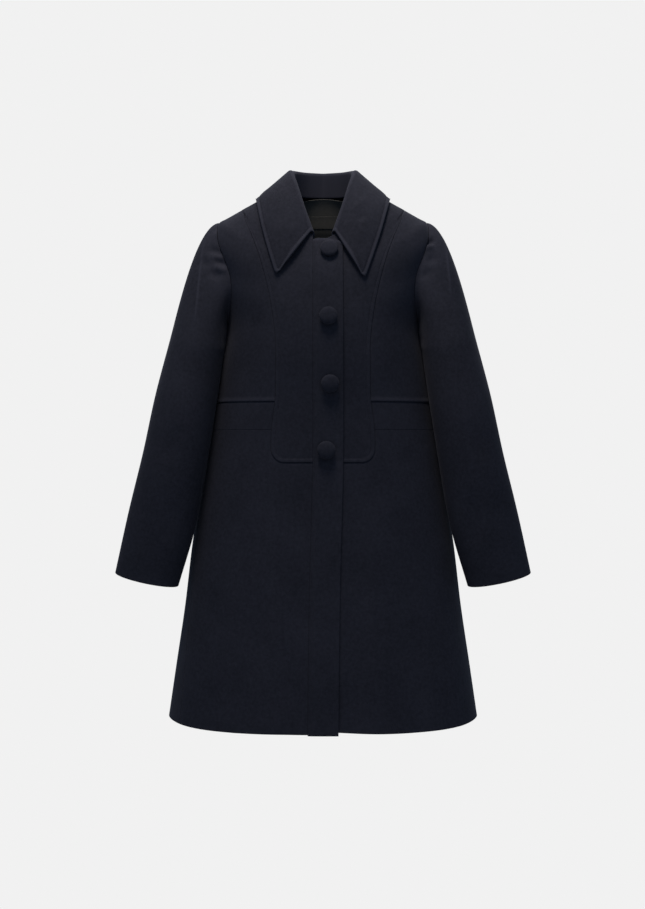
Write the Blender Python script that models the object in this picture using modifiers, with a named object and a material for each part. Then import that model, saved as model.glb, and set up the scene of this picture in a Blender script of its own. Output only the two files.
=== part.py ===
"""Wool coat, filled out with no wearer.

An A-line coat with a pointed collar, a bib front between princess seams, waistband insets, flared skirt
fronts, a plain back with a centre seam, two-piece sleeves and a placket with four covered buttons.

Metres, +Z up. The front faces -Y and +X is the wearer's left. The origin lies on the middle plane of the
body at shoulder height, where the wearer's shoulders carry the coat.
"""

import math
from collections import namedtuple

import bmesh
import bpy
import numpy as np
from mathutils import Matrix, Vector

MM = 0.001

# Cloth and seams
WALL = 2.5 * MM
COLLAR_WALL = 3.0 * MM
FACING_WALL = 1.2 * MM
LABEL_WALL = 0.8 * MM
SEAM_GAP = 0.3 * MM
LAYER_GAP = 0.6 * MM

# Body sections from neck to hem, in millimetres, with the side seam's angle from centre front in degrees
Section = namedtuple("Section", "name z_front z_side z_back half_width front_depth back_depth side_seam")
BODY_SECTIONS = [
    Section("neck", -48, 43, 44, 62, 70, 80, 90),
    Section("collar seat", -60, 33, 30, 90, 78, 85, 90),
    Section("mid shoulder", -74, 14.5, 7, 125, 85, 90, 90),
    Section("near tip", -88, -8, -19, 165, 91, 95, 90),
    Section("shoulder tip", -93, -14, -25, 176, 93, 97, 90),
    Section("below tip", -101, -27, -37, 182, 96, 100, 90),
    Section("mid armhole", -148, -105, -110, 174, 108, 108, 90),
    Section("armpit", -197, -197, -197, 163, 116, 113, 90),
    Section("under bust", -246, -246, -246, 171, 118, 115, 88),
    Section("waist", -323, -323, -323, 184, 117, 117, 84),
    Section("bib foot", -413, -413, -413, 199, 121, 123, 79),
    Section("hip", -561, -561, -561, 222, 131, 134, 72),
    Section("thigh", -663, -663, -663, 234, 139, 142, 68),
    Section("knee", -762, -761, -762, 248.5, 147, 150, 65),
    Section("hem", -862, -850, -858, 261.5, 154, 157, 63),
]
BODY_FULLNESS = 0.03
SHOULDER_CURVE = 2
HEM_CURVE = 5.5

# Front seams, as seen from the front
BIB_SHOULDER_X = 137.5 * MM
SeamPoint = namedtuple("SeamPoint", "x z")
PRINCESS_SEAM = [
    SeamPoint(130, -15),
    SeamPoint(120.5, -38),
    SeamPoint(108.5, -70),
    SeamPoint(98, -105),
    SeamPoint(84, -170),
    SeamPoint(78.5, -215),
    SeamPoint(78, -272),
    SeamPoint(79, -320),
    SeamPoint(83, -350),
    SeamPoint(85.5, -380),
    SeamPoint(85.5, -398.5),
]
BIB_CORNER_RADIUS = 22 * MM
WAISTBAND_TOP_Z = -320 * MM
WAISTBAND_FOOT_Z = -367 * MM
SIDE_FRONT_TIP = 0.35 * MM

# Armhole: how far it spreads from the side, and how full its curve is
ARMHOLE_SPREAD = math.radians(30)
ARMHOLE_FULLNESS = 0.6

# Placket on the wearer's right front: where its seam runs, and its widths
PlacketPoint = namedtuple("PlacketPoint", "z seam_x")
PLACKET_SEAM = [
    PlacketPoint(-46, -17),
    PlacketPoint(-240, -17),
    PlacketPoint(-420, -17),
    PlacketPoint(-620, -22),
    PlacketPoint(-861, -25),
]
PLACKET_WIDTH = 50 * MM
PLACKET_RAMP = 7 * MM
PLACKET_TOP_Z = -49 * MM
PLACKET_CORNER_DROP = 7 * MM
PLACKET_CORNER_POWER = 3
PLACKET_BELOW_HEM = 1.5 * MM
UNDERLAP_START = 9 * MM

# Covered buttons on the placket
BUTTON_DIAMETER = 30 * MM
BUTTON_HEIGHT = 9.5 * MM
BUTTON_SHANK_RADIUS = 4.5 * MM
BUTTON_SHANK_HEIGHT = 2.2 * MM
BUTTON_RIM_HEIGHT = 4.5 * MM
BUTTON_TURN_IN = 0.8 * MM
BUTTON_UNDER_EDGE = 0.94
BUTTON_UNDER_FLAT = 0.8
ButtonPlace = namedtuple("ButtonPlace", "x z")
BUTTON_PLACES = [
    ButtonPlace(10.3, -69),
    ButtonPlace(8.6, -181),
    ButtonPlace(11.4, -291.5),
    ButtonPlace(5.2, -401),
]

# Sleeve sections on the wearer's left, in millimetres
SleeveSection = namedtuple("SleeveSection", "name centre_x centre_y centre_z half_width half_depth")
SLEEVE_SECTIONS = [
    SleeveSection("bicep", 211.5, -31, -222, 46.5, 59),
    SleeveSection("upper elbow", 230.2, -44, -318, 51.8, 54),
    SleeveSection("elbow", 247.6, -49, -413, 54.4, 49),
    SleeveSection("forearm", 269, -51, -515, 57.5, 42),
    SleeveSection("cuff", 294.5, -54, -616, 54, 34),
]
SLEEVE_TILT = math.radians(12)
SLEEVE_PITCH = math.radians(9)
SLEEVE_SEAT = 0.45 * MM
CAP_REACH = 110 * MM
CAP_LIFT = -0.05
UNDERARM_REACH = 16 * MM
CAP_DROP = 150 * MM
UNDERARM_DROP = 40 * MM

# Collar: the line of its fold from the front end round to centre back, in millimetres and degrees
FoldPoint = namedtuple("FoldPoint", "angle x y z")
COLLAR_FOLD = [
    FoldPoint(14, 17, -69.8, -36),
    FoldPoint(40, 31, -52, 7),
    FoldPoint(65, 43, -27, 47),
    FoldPoint(90, 51, 0, 72),
    FoldPoint(120, 49, 36, 80),
    FoldPoint(150, 29, 62, 81.5),
    FoldPoint(180, 0, 72, 81.5),
]
COLLAR_ROLL = 6.4 * MM
COLLAR_STAND_OVERLAP = 7 * MM
CollarPoint = namedtuple("CollarPoint", "side x z")
COLLAR_POINTS = [
    CollarPoint(-1, 78, -113),
    CollarPoint(1, 69, -119),
]
COLLAR_POINT_ROUND = 11 * MM
COLLAR_EDGE_BOW = 3 * MM
COLLAR_SHOULDER_X = 111.5 * MM
COLLAR_BACK_Z = 6 * MM
COLLAR_BULGE = -0.6 * MM
COLLAR_FRONT_BULGE = 9.6 * MM
COLLAR_BACK_BULGE = 4.5 * MM
COLLAR_BULGE_SPAN = 45
COLLAR_SEAT = 0.5 * MM
COLLAR_SHOULDER_LIFT = 4.6 * MM
COLLAR_SHOULDER_SPAN = 35
COLLAR_STAND_GAP = 1.9 * MM

# Back neck facing and label, inside the back
FACING_HALF_ANGLE = math.radians(45)
FACING_TOP = 8 * MM
FACING_GAP = 1.6 * MM
LABEL_HALF_ANGLE = math.radians(14)
LABEL_TOP_Z = 9 * MM
LABEL_FOOT_Z = -12 * MM

# How finely the solids are sampled
SHOULDER_ROWS = 4
TIP_ROWS = 8
TIP_CROWDING = 2.2
ARMHOLE_ROWS = 8
CHEST_ROWS = 4
WAIST_ROWS = 2
CORNER_ROWS = 4
SKIRT_ROWS = 8
BIB_COLUMNS = 8
PANEL_COLUMNS = 5
SKIRT_SIDE_COLUMNS = 6
SKIRT_CENTRE_COLUMNS = 4
BACK_COLUMNS = 8
FACING_ARMHOLE_ROWS = 3
FACING_COLUMNS = 8
LABEL_COLUMNS = 4
PLACKET_COLUMNS = 5
CAP_RINGS = 6
ARM_RINGS = 8
COLLAR_COLUMNS = 16
COLLAR_POINT_STEPS = (0, 1.6, 3.4, 5.2, 7)
COLLAR_OUTLINE_STEPS = 24
COLLAR_ARC_STEPS = 4
COLLAR_FALL_STEPS = 4
BUTTON_STEPS = 16
BUTTON_DOME_STEPS = 4
PRINCESS_START = 4 * MM
PRINCESS_STEPS = 40
SEARCH_STEPS = 45
NUDGE = 0.05 * MM
NUDGE_ANGLE = 0.001

Finish = namedtuple("Finish", "colour roughness")
WOOL = Finish((0.011, 0.012, 0.018, 1), 0.95)
FACING = Finish((0.006, 0.007, 0.011, 1), 0.7)
LABEL = Finish((0.008, 0.008, 0.012, 1), 0.6)


# Curves and searches
def smooth_curve(knots, values):
    """Return a function through values at rising knots, its tangents taken from three points each."""
    knots = np.asarray(knots, float)
    values = np.asarray(values, float)
    step = np.diff(knots)[:, None]
    slope = np.diff(values, axis=0) / step
    tangent = np.empty_like(values)
    tangent[1:-1] = (step[1:] * slope[:-1] + step[:-1] * slope[1:]) / (step[1:] + step[:-1])
    tangent[0] = slope[0]
    tangent[-1] = slope[-1]

    def at(where):
        i = int(np.clip(np.searchsorted(knots, where) - 1, 0, len(step) - 1))
        width = step[i, 0]
        s = (where - knots[i]) / width
        keep = (1 + 2 * s) * (1 - s) ** 2
        leave = s * (1 - s) ** 2 * width
        arrive = s * s * (s - 1) * width
        return values[i] * keep + values[i + 1] * (1 - keep) + tangent[i] * leave + tangent[i + 1] * arrive

    return at


def bisect(function, low, high):
    """Return where a rising function crosses zero."""
    for _ in range(SEARCH_STEPS):
        middle = (low + high) / 2
        if function(middle) < 0:
            low = middle
        else:
            high = middle
    return (low + high) / 2


def unit(vector):
    return vector / np.linalg.norm(vector)


# Body surface: an angle round from centre front and a run down the side from the neck
side_line = np.array([(s.half_width, s.z_side) for s in BODY_SECTIONS]) * MM
RUNS = np.concatenate([[0], np.cumsum(np.linalg.norm(np.diff(side_line, axis=0), axis=1))])
RUN_OF = {s.name: run for s, run in zip(BODY_SECTIONS, RUNS)}
section_values = [[v * MM for v in s[1:-1]] + [math.radians(s.side_seam)] for s in BODY_SECTIONS]
section_at = smooth_curve(RUNS, section_values)


def body_point(angle, run):
    z_front, z_side, z_back, half_width, front_depth, back_depth, _ = section_at(run)
    in_front = math.cos(angle) > 0
    z_end = z_front if in_front else z_back
    depth = front_depth if in_front else back_depth
    full = 1 + BODY_FULLNESS * math.sin(2 * angle) ** 2
    x = half_width * full * math.sin(angle)
    y = -depth * full * math.cos(angle)
    curve = SHOULDER_CURVE if run < RUN_OF["armpit"] else HEM_CURVE
    z = z_end + (z_side - z_end) * abs(math.sin(angle)) ** curve
    return np.array((x, y, z))


def body_slopes(angle, run):
    after = body_point(angle + NUDGE_ANGLE, run)
    before = body_point(angle - NUDGE_ANGLE, run)
    around = (after - before) / (2 * NUDGE_ANGLE)
    down = (body_point(angle, run + NUDGE) - body_point(angle, run - NUDGE)) / (2 * NUDGE)
    return around, down


def body_normal(angle, run):
    around, down = body_slopes(angle, run)
    return unit(np.cross(down, around))


def angle_of_x(x, run):
    quarter = math.pi / 2
    return bisect(lambda angle: body_point(angle, run)[0] - x, -quarter, quarter)


def run_of_height(z):
    return bisect(lambda run: z - section_at(run)[0], RUN_OF["neck"], RUN_OF["hem"])


def run_of_shoulder(x):
    return bisect(lambda run: section_at(run)[3] - x, RUN_OF["neck"], RUN_OF["shoulder tip"])


def run_of_back(z):
    return bisect(lambda run: z - section_at(run)[2], RUN_OF["neck"], RUN_OF["hem"])


def locate(x, z):
    """Return the angle and run of a point on the front that shows at x and z."""

    def height_gap(run):
        return z - body_point(angle_of_x(x, run), run)[2]

    run = bisect(height_gap, RUN_OF["neck"], RUN_OF["hem"])
    return angle_of_x(x, run), run


def move_round(angle, run, distance):
    around, _ = body_slopes(angle, run)
    return angle + distance / np.linalg.norm(around)


# Seam lines on the body
BIB_SHOULDER_RUN = run_of_shoulder(BIB_SHOULDER_X)
WAISTBAND_TOP = run_of_height(WAISTBAND_TOP_Z)
WAISTBAND_FOOT = run_of_height(WAISTBAND_FOOT_Z)
CORNER_Z = PRINCESS_SEAM[-1].z * MM
CORNER_X = PRINCESS_SEAM[-1].x * MM - BIB_CORNER_RADIUS
CORNER_RUN = run_of_height(CORNER_Z)

shoulder_z = section_at(BIB_SHOULDER_RUN)[1]
seam_line = smooth_curve([-shoulder_z] + [-p.z * MM for p in PRINCESS_SEAM],
                         [[BIB_SHOULDER_X]] + [[p.x * MM] for p in PRINCESS_SEAM])
seam_heights = np.linspace(shoulder_z - PRINCESS_START, CORNER_Z, PRINCESS_STEPS)
princess_places = [(math.pi / 2, BIB_SHOULDER_RUN)] + [locate(seam_line(-z)[0], z) for z in seam_heights]
princess_runs = [run for _, run in princess_places]
princess_curve = smooth_curve(princess_runs, [[angle] for angle, _ in princess_places])
placket_curve = smooth_curve([-p.z * MM for p in PLACKET_SEAM], [[p.seam_x * MM] for p in PLACKET_SEAM])


def princess_angle(run, shift):
    """Return the seam's angle, moved square to the seam by shift."""
    if run <= BIB_SHOULDER_RUN:
        return move_round(math.pi / 2, run, shift)
    angle = princess_curve(run)[0]
    around, down = body_slopes(angle, run)
    swing = (princess_curve(run + NUDGE)[0] - angle) / NUDGE
    slant = swing * np.linalg.norm(around) / np.linalg.norm(down)
    return move_round(angle, run, shift * math.hypot(1, slant))


def corner_rows(shift):
    """Return the run and angle of each row along the bib's rounded corner, shifted outwards."""
    radius = BIB_CORNER_RADIUS + shift
    rows = []
    for step in range(1, CORNER_ROWS + 1):
        turn = math.pi / 2 * step / CORNER_ROWS
        run = run_of_height(CORNER_Z - radius * math.sin(turn))
        rows.append((run, angle_of_x(CORNER_X + radius * math.cos(turn), run)))
    return rows


def placket_angle(run, across):
    seam_x = placket_curve(-section_at(run)[0])[0]
    return angle_of_x(seam_x + across, run)


def armhole_spread(run):
    share = (run - RUN_OF["shoulder tip"]) / (RUN_OF["armpit"] - RUN_OF["shoulder tip"])
    if not 0 < share < 1:
        return 0
    return ARMHOLE_SPREAD * math.sin(math.pi * share) ** ARMHOLE_FULLNESS


def side_angle(run, away):
    """Return where a front (away -1) or back (away +1) panel ends at the side, half a gap short."""
    edge = section_at(run)[-1] + away * armhole_spread(run)
    return move_round(edge, run, away * SEAM_GAP / 2)


# Rows shared by neighbouring panels
def spread_rows(start, end, count):
    return list(np.linspace(start, end, count + 1))


tip, armpit = RUN_OF["shoulder tip"], RUN_OF["armpit"]
ARMHOLE_RUNS = [tip + (armpit - tip) * (1 - math.cos(math.pi * k / ARMHOLE_ROWS)) / 2
                for k in range(ARMHOLE_ROWS + 1)]
SIDE_FRONT_TOP = BIB_SHOULDER_RUN + SIDE_FRONT_TIP
SHOULDER_RUNS = spread_rows(0, BIB_SHOULDER_RUN, SHOULDER_ROWS)
TIP_RUNS = [SIDE_FRONT_TOP + (tip - SIDE_FRONT_TOP) * (k / TIP_ROWS) ** TIP_CROWDING
            for k in range(TIP_ROWS)]
CHEST_RUNS = spread_rows(armpit, WAISTBAND_TOP, CHEST_ROWS)[1:]
WAIST_RUNS = spread_rows(WAISTBAND_TOP, WAISTBAND_FOOT, WAIST_ROWS)[1:]
CORNER_RUNS = [run for run, _ in corner_rows(0)]
SKIRT_RUNS = spread_rows(CORNER_RUNS[-1], RUN_OF["hem"], SKIRT_ROWS)[1:]
BIB_SIDE_RUNS = SHOULDER_RUNS + TIP_RUNS + ARMHOLE_RUNS + CHEST_RUNS + WAIST_RUNS + [CORNER_RUN]
SIDE_FRONT_RUNS = TIP_RUNS + ARMHOLE_RUNS + CHEST_RUNS
ALL_RUNS = BIB_SIDE_RUNS + CORNER_RUNS + SKIRT_RUNS


# Walls: rows of outer points, each with the point behind it
def body_rows(side, rows, columns, lift=0.0, thickness=WALL):
    """Return point pairs for rows of (run, first angle, last angle) on one side, or across with side 1."""
    grid = []
    for run, first, last in rows:
        pairs = []
        for share in np.linspace(0, 1, columns + 1):
            angle = side * (first + (last - first) * share)
            normal = body_normal(angle, run)
            outer = body_point(angle, run) + lift * normal
            pairs.append((outer, outer - thickness * normal))
        grid.append(pairs)
    return grid


def add_grid(bm, grid, behind):
    """Add a grid of outer points, and keep the point behind each in its vertex layer."""
    row_count = len(grid) - 1
    column_count = len(grid[0]) - 1
    made = bmesh.ops.create_grid(bm, x_segments=column_count, y_segments=row_count, size=1)
    for vert in made["verts"]:
        row = round((vert.co.y + 1) / 2 * row_count)
        column = round((vert.co.x + 1) / 2 * column_count)
        outer, inner = grid[row][column]
        vert.co = outer
        vert[behind] = inner


def make_wall(name, grids, material):
    """Make one closed wall from grids that meet edge to edge."""
    bm = bmesh.new()
    behind = bm.verts.layers.float_vector.new("behind")
    for grid in grids:
        add_grid(bm, grid, behind)
    bmesh.ops.remove_doubles(bm, verts=bm.verts[:], dist=NUDGE / 2)
    made = bmesh.ops.extrude_face_region(bm, geom=bm.faces[:], use_keep_orig=True)
    for item in made["geom"]:
        if isinstance(item, bmesh.types.BMVert):
            item.co = item[behind]
    bmesh.ops.recalc_face_normals(bm, faces=bm.faces[:])
    mesh = bpy.data.meshes.new(name)
    bm.to_mesh(mesh)
    bm.free()
    mesh.shade_smooth()
    mesh.materials.append(material)
    piece = bpy.data.objects.new(name, mesh)
    coat.objects.link(piece)
    return piece


# Front panels: side -1 is the wearer's right, which carries the placket
def front_edge(side, run):
    if side < 0:
        return -placket_angle(run, -SEAM_GAP / 2)
    return placket_angle(run, UNDERLAP_START)


def make_bib(name, side):
    rows = [(run, front_edge(side, run), princess_angle(run, -SEAM_GAP / 2)) for run in BIB_SIDE_RUNS]
    rows += [(run, front_edge(side, run), angle) for run, angle in corner_rows(-SEAM_GAP / 2)]
    make_wall(name, [body_rows(side, rows, BIB_COLUMNS)], wool)


def make_side_front(name, side):
    runs = SIDE_FRONT_RUNS[:-1] + [WAISTBAND_TOP - SEAM_GAP / 2]
    rows = [(run, princess_angle(run, SEAM_GAP / 2), side_angle(run, -1)) for run in runs]
    make_wall(name, [body_rows(side, rows, PANEL_COLUMNS)], wool)


def make_waistband(name, side):
    runs = spread_rows(WAISTBAND_TOP + SEAM_GAP / 2, WAISTBAND_FOOT - SEAM_GAP / 2, WAIST_ROWS)
    rows = [(run, princess_angle(run, SEAM_GAP / 2), side_angle(run, -1)) for run in runs]
    make_wall(name, [body_rows(side, rows, PANEL_COLUMNS)], wool)


def make_skirt_front(name, side):
    corner = corner_rows(SEAM_GAP / 2)
    foot_run, split = corner[-1]
    top_runs = [WAISTBAND_FOOT + SEAM_GAP / 2, CORNER_RUN]
    beside_bib = [(run, princess_angle(run, SEAM_GAP / 2), side_angle(run, -1)) for run in top_runs]
    beside_bib += [(run, angle, side_angle(run, -1)) for run, angle in corner]
    below_bib = [(run, split, side_angle(run, -1)) for run in SKIRT_RUNS]
    centre = [(run, front_edge(side, run), split) for run in [foot_run] + SKIRT_RUNS]
    side_grid = body_rows(side, beside_bib + below_bib, SKIRT_SIDE_COLUMNS)
    centre_grid = body_rows(side, centre, SKIRT_CENTRE_COLUMNS)
    make_wall(name, [side_grid, centre_grid], wool)


def make_back(name, side):
    rows = []
    for run in ALL_RUNS:
        centre = move_round(math.pi, run, -SEAM_GAP / 2)
        rows.append((run, side_angle(run, 1), centre))
    make_wall(name, [body_rows(side, rows, BACK_COLUMNS)], wool)


def make_placket(name):
    """The strip starts flush at its seam, then rises over the front that lies under it."""
    lifted = WALL + LAYER_GAP
    steps = [(SEAM_GAP / 2, 0)]
    steps += [(across, lifted) for across in np.linspace(PLACKET_RAMP, PLACKET_WIDTH, PLACKET_COLUMNS)]
    top_runs = []
    for across, _ in steps:
        top_z = PLACKET_TOP_Z - PLACKET_CORNER_DROP * (across / PLACKET_WIDTH) ** PLACKET_CORNER_POWER
        top_runs.append(locate(PLACKET_SEAM[0].seam_x * MM + across, top_z)[1])
    grid = []
    for row_run in ALL_RUNS[:-1] + [ALL_RUNS[-1] + PLACKET_BELOW_HEM]:
        pairs = []
        squeeze = max(0, 1 - row_run / BIB_SHOULDER_RUN)
        for (across, lift), top_run in zip(steps, top_runs):
            run = row_run + top_run * squeeze
            angle = placket_angle(run, across)
            normal = body_normal(angle, run)
            outer = body_point(angle, run) + lift * normal
            pairs.append((outer, outer - WALL * normal))
        grid.append(pairs)
    make_wall(name, [grid], wool)


def make_button(name, place):
    """A covered dome on a short shank, turned about the placket's normal."""
    angle, run = locate(place.x * MM, place.z * MM)
    normal = body_normal(angle, run)
    seat = body_point(angle, run) + (WALL + LAYER_GAP + SEAM_GAP) * normal
    radius = BUTTON_DIAMETER / 2
    rise = BUTTON_HEIGHT - BUTTON_RIM_HEIGHT
    dome = [(radius * math.sin(turn), BUTTON_RIM_HEIGHT + rise * math.cos(turn))
            for turn in np.linspace(0, math.pi / 2, BUTTON_DOME_STEPS + 1)]
    under = [(radius * BUTTON_UNDER_EDGE, BUTTON_SHANK_HEIGHT + BUTTON_TURN_IN),
             (radius * BUTTON_UNDER_FLAT, BUTTON_SHANK_HEIGHT)]
    shank = [(BUTTON_SHANK_RADIUS, BUTTON_SHANK_HEIGHT), (BUTTON_SHANK_RADIUS, 0), (0, 0)]
    bm = bmesh.new()
    verts = [bm.verts.new((x, 0, z)) for x, z in dome + under + shank]
    for first, second in zip(verts, verts[1:]):
        bm.edges.new((first, second))
    mesh = bpy.data.meshes.new(name)
    bm.to_mesh(mesh)
    bm.free()
    mesh.materials.append(wool)
    piece = bpy.data.objects.new(name, mesh)
    turn = piece.modifiers.new("turned", "SCREW")
    turn.steps = BUTTON_STEPS
    turn.render_steps = BUTTON_STEPS
    turn.use_merge_vertices = True
    turn.merge_threshold = NUDGE
    turn.use_normal_calculate = True
    upright = Vector(normal).to_track_quat("Z", "Y").to_matrix().to_4x4()
    piece.matrix_world = Matrix.Translation(Vector(seat)) @ upright
    coat.objects.link(piece)


# Sleeves: columns round from the shoulder tip, down the front to the armpit and up the back
def armhole_loop():
    half_turn = math.pi / 2
    front = [body_point(half_turn - armhole_spread(run), run) for run in ARMHOLE_RUNS]
    back = [body_point(half_turn + armhole_spread(run), run) for run in ARMHOLE_RUNS]
    return np.array(front + back[-2:0:-1])


def column_turns(loop):
    """Return the turn of each column round the sleeve, by its share of the armhole's length."""
    steps = np.linalg.norm(np.roll(loop, -1, axis=0) - loop, axis=1)
    front = np.cumsum(steps[:ARMHOLE_ROWS])
    back = np.cumsum(steps[ARMHOLE_ROWS:])
    turns = np.concatenate([[0], front / front[-1], 1 + back[:-1] / back[-1]])
    return turns * math.pi


def sleeve_tube():
    """Return rings of outer points from armhole to cuff, and the points behind them."""
    loop = armhole_loop()
    turns = column_turns(loop)
    heights = [-s.centre_z * MM for s in SLEEVE_SECTIONS]
    ring_at = smooth_curve(heights, [[v * MM for v in s[1:]] for s in SLEEVE_SECTIONS])
    outward = np.array((math.cos(SLEEVE_TILT), 0, math.sin(SLEEVE_TILT)))
    forward = np.array((0, -math.cos(SLEEVE_PITCH), -math.sin(SLEEVE_PITCH)))

    def ring(height):
        values = ring_at(height)
        round_x = np.cos(turns)[:, None] * values[3] * outward
        round_y = np.sin(turns)[:, None] * values[4] * forward
        return values[:3] + round_x + round_y

    bicep = ring(heights[0])
    arm_way = unit(ring(heights[0] + NUDGE) - bicep)
    high = (1 + np.cos(turns)[:, None]) / 2
    leave = np.array((1, 0, 0)) + high * np.array((0, 0, CAP_LIFT))
    leave = leave / np.linalg.norm(leave, axis=1)[:, None]
    start = loop + SLEEVE_SEAT * leave
    leave = leave * (UNDERARM_REACH + (CAP_REACH - UNDERARM_REACH) * high)
    arrive = unit(arm_way[0]) * (UNDERARM_DROP + (CAP_DROP - UNDERARM_DROP) * high)
    rings = []
    for s in np.linspace(0, 1, CAP_RINGS + 1)[:-1]:
        keep = (1 + 2 * s) * (1 - s) ** 2
        curve = start * keep + bicep * (1 - keep) + leave * s * (1 - s) ** 2 + arrive * s * s * (s - 1)
        rings.append(curve)
    rings += [ring(height) for height in np.linspace(heights[0], heights[-1], ARM_RINGS + 1)]
    outer = np.array(rings)
    around = np.roll(outer, -1, axis=1) - np.roll(outer, 1, axis=1)
    along = np.gradient(outer, axis=0)
    normal = np.cross(around, along)
    normal /= np.linalg.norm(normal, axis=2)[:, :, None]
    return outer, outer - WALL * normal


def pull_in(grid, distance):
    """Draw the first and last column of a grid in, square to those edges."""
    for edge, near in ((0, 1), (-1, -2)):
        line = np.gradient(np.array([row[edge][0] for row in grid]), axis=0)
        for row, along in zip(grid, line):
            way = row[near][0] - row[edge][0]
            way = unit(way - np.dot(way, along) / np.dot(along, along) * along)
            row[edge] = tuple(point + distance * way for point in row[edge])
    return grid


def make_sleeve(side, top_name, under_name):
    outer, inner = sleeve_tube()
    mirror = np.array((side, 1, 1))
    column_total = outer.shape[1]
    front_seam = ARMHOLE_ROWS - 1
    back_seam = ARMHOLE_ROWS + 3
    spans = {
        top_name: range(back_seam, column_total + front_seam + 1),
        under_name: range(front_seam, back_seam + 1),
    }
    for name, span in spans.items():
        grid = []
        for outer_ring, inner_ring in zip(outer, inner):
            columns = [column % column_total for column in span]
            grid.append([(outer_ring[c] * mirror, inner_ring[c] * mirror) for c in columns])
        make_wall(name, [pull_in(grid, SEAM_GAP / 2)], wool)


# Collar: a band that rises inside the neck, rolls over its fold and falls outside to the points
fold_curve = smooth_curve([p.angle for p in COLLAR_FOLD], [[v * MM for v in p[1:]] for p in COLLAR_FOLD])


def collar_foot(angle):
    """Return the foot of the stand, just inside the neck edge and a little below it."""
    edge = body_point(angle, 0)
    inward = unit(edge * np.array((-1, -1, 0)))
    wall_reach = WALL * np.linalg.norm(body_normal(angle, 0)[:2])
    below = np.array((0, 0, -COLLAR_STAND_OVERLAP))
    return edge + (wall_reach + COLLAR_STAND_GAP + COLLAR_WALL) * inward + below


def collar_outline(point):
    """Return the outer edge as it shows from the front: round the point, then up to the shoulder."""
    tip = np.array((point.x, point.z)) * MM
    neck = np.array((COLLAR_FOLD[0].x, COLLAR_FOLD[0].z)) * MM
    shoulder = np.array((COLLAR_SHOULDER_X, section_at(run_of_shoulder(COLLAR_SHOULDER_X))[1]))
    front = tip + COLLAR_POINT_ROUND * unit(neck - tip)
    outer = tip + COLLAR_POINT_ROUND * unit(shoulder - tip)
    share = np.linspace(0, 1, COLLAR_OUTLINE_STEPS + 1)[:, None]
    turn = front * (1 - share) ** 2 + tip * 2 * share * (1 - share) + outer * share ** 2
    climb = outer + (shoulder - outer) * share + np.array((COLLAR_EDGE_BOW, 0)) * np.sin(math.pi * share)
    path = np.concatenate([turn, climb[1:]])
    length = np.concatenate([[0], np.cumsum(np.linalg.norm(np.diff(path, axis=0), axis=1))])
    return length / length[-1], path


def collar_edge(degrees, outline):
    """Return a point of the outer edge: round the point and up to the shoulder, then round the back."""
    first = COLLAR_FOLD[0].angle
    shoulder_run = run_of_shoulder(COLLAR_SHOULDER_X)
    if degrees < 90:
        marks, path = outline
        share = (degrees - first) / (90 - first)
        angle, run = locate(np.interp(share, marks, path[:, 0]), np.interp(share, marks, path[:, 1]))
    else:
        angle = math.radians(degrees)
        ease = math.sin(angle - math.pi / 2) ** 2
        run = shoulder_run + (run_of_back(COLLAR_BACK_Z) - shoulder_run) * ease
    lift = COLLAR_SHOULDER_LIFT * math.exp(-((degrees - 90) / COLLAR_SHOULDER_SPAN) ** 2)
    return body_point(angle, run) + (COLLAR_SEAT + lift + COLLAR_WALL) * body_normal(angle, run)


def collar_section(degrees, outline):
    """Return a section from the foot of the stand, round the roll and down to the outer edge."""
    foot = collar_foot(math.radians(degrees))
    edge = collar_edge(degrees, outline)
    fold = fold_curve(degrees)
    up = -unit(unit(foot - fold) + unit(edge - fold))
    out = unit((edge - fold) - np.dot(edge - fold, up) * up)
    centre = fold - COLLAR_ROLL * up

    def tangent_turn(point, hand):
        reach = point - centre
        distance = np.linalg.norm(reach)
        return math.atan2(np.dot(reach, up), np.dot(reach, out)) + hand * math.acos(COLLAR_ROLL / distance)

    edge_turn = tangent_turn(edge, 1)
    foot_turn = tangent_turn(foot, -1) % (2 * math.pi)
    arc = [centre + COLLAR_ROLL * (math.cos(turn) * out + math.sin(turn) * up)
           for turn in np.linspace(foot_turn, edge_turn, COLLAR_ARC_STEPS + 1)]
    frontness = np.clip((90 - degrees) / COLLAR_BULGE_SPAN, 0, 1)
    backness = np.clip((degrees - 90) / COLLAR_BULGE_SPAN, 0, 1)
    swell = math.cos(edge_turn) * out + math.sin(edge_turn) * up
    swell = unit(swell * (1 - frontness) + np.array((0, -1, 0)) * frontness)
    bulge = (COLLAR_BULGE + COLLAR_FRONT_BULGE * frontness + COLLAR_BACK_BULGE * backness) * swell
    fall = []
    for share in np.linspace(0, 1, COLLAR_FALL_STEPS + 1)[1:]:
        fall.append(arc[-1] + (edge - arc[-1]) * share + bulge * math.sin(math.pi * share))
    return [foot, (foot + arc[0]) / 2] + arc + fall


def make_collar(name):
    first = COLLAR_FOLD[0].angle
    steps = [first + step for step in COLLAR_POINT_STEPS]
    steps += list(np.linspace(steps[-1], 180, COLLAR_COLUMNS + 1)[1:])
    halves = []
    for point in COLLAR_POINTS:
        outline = collar_outline(point)
        half = np.array([collar_section(degrees, outline) for degrees in steps])
        halves.append(half * np.array((point.side, 1, 1)))
    right, left = halves
    outer = np.concatenate([right, left[-2::-1]])
    around = np.gradient(outer, axis=0)
    along = np.gradient(outer, axis=1)
    normal = np.cross(around, along)
    normal /= np.linalg.norm(normal, axis=2)[:, :, None]
    inner = outer - COLLAR_WALL * normal
    grid = [list(zip(outer_row, inner_row)) for outer_row, inner_row in zip(outer, inner)]
    make_wall(name, [grid], wool)


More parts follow.
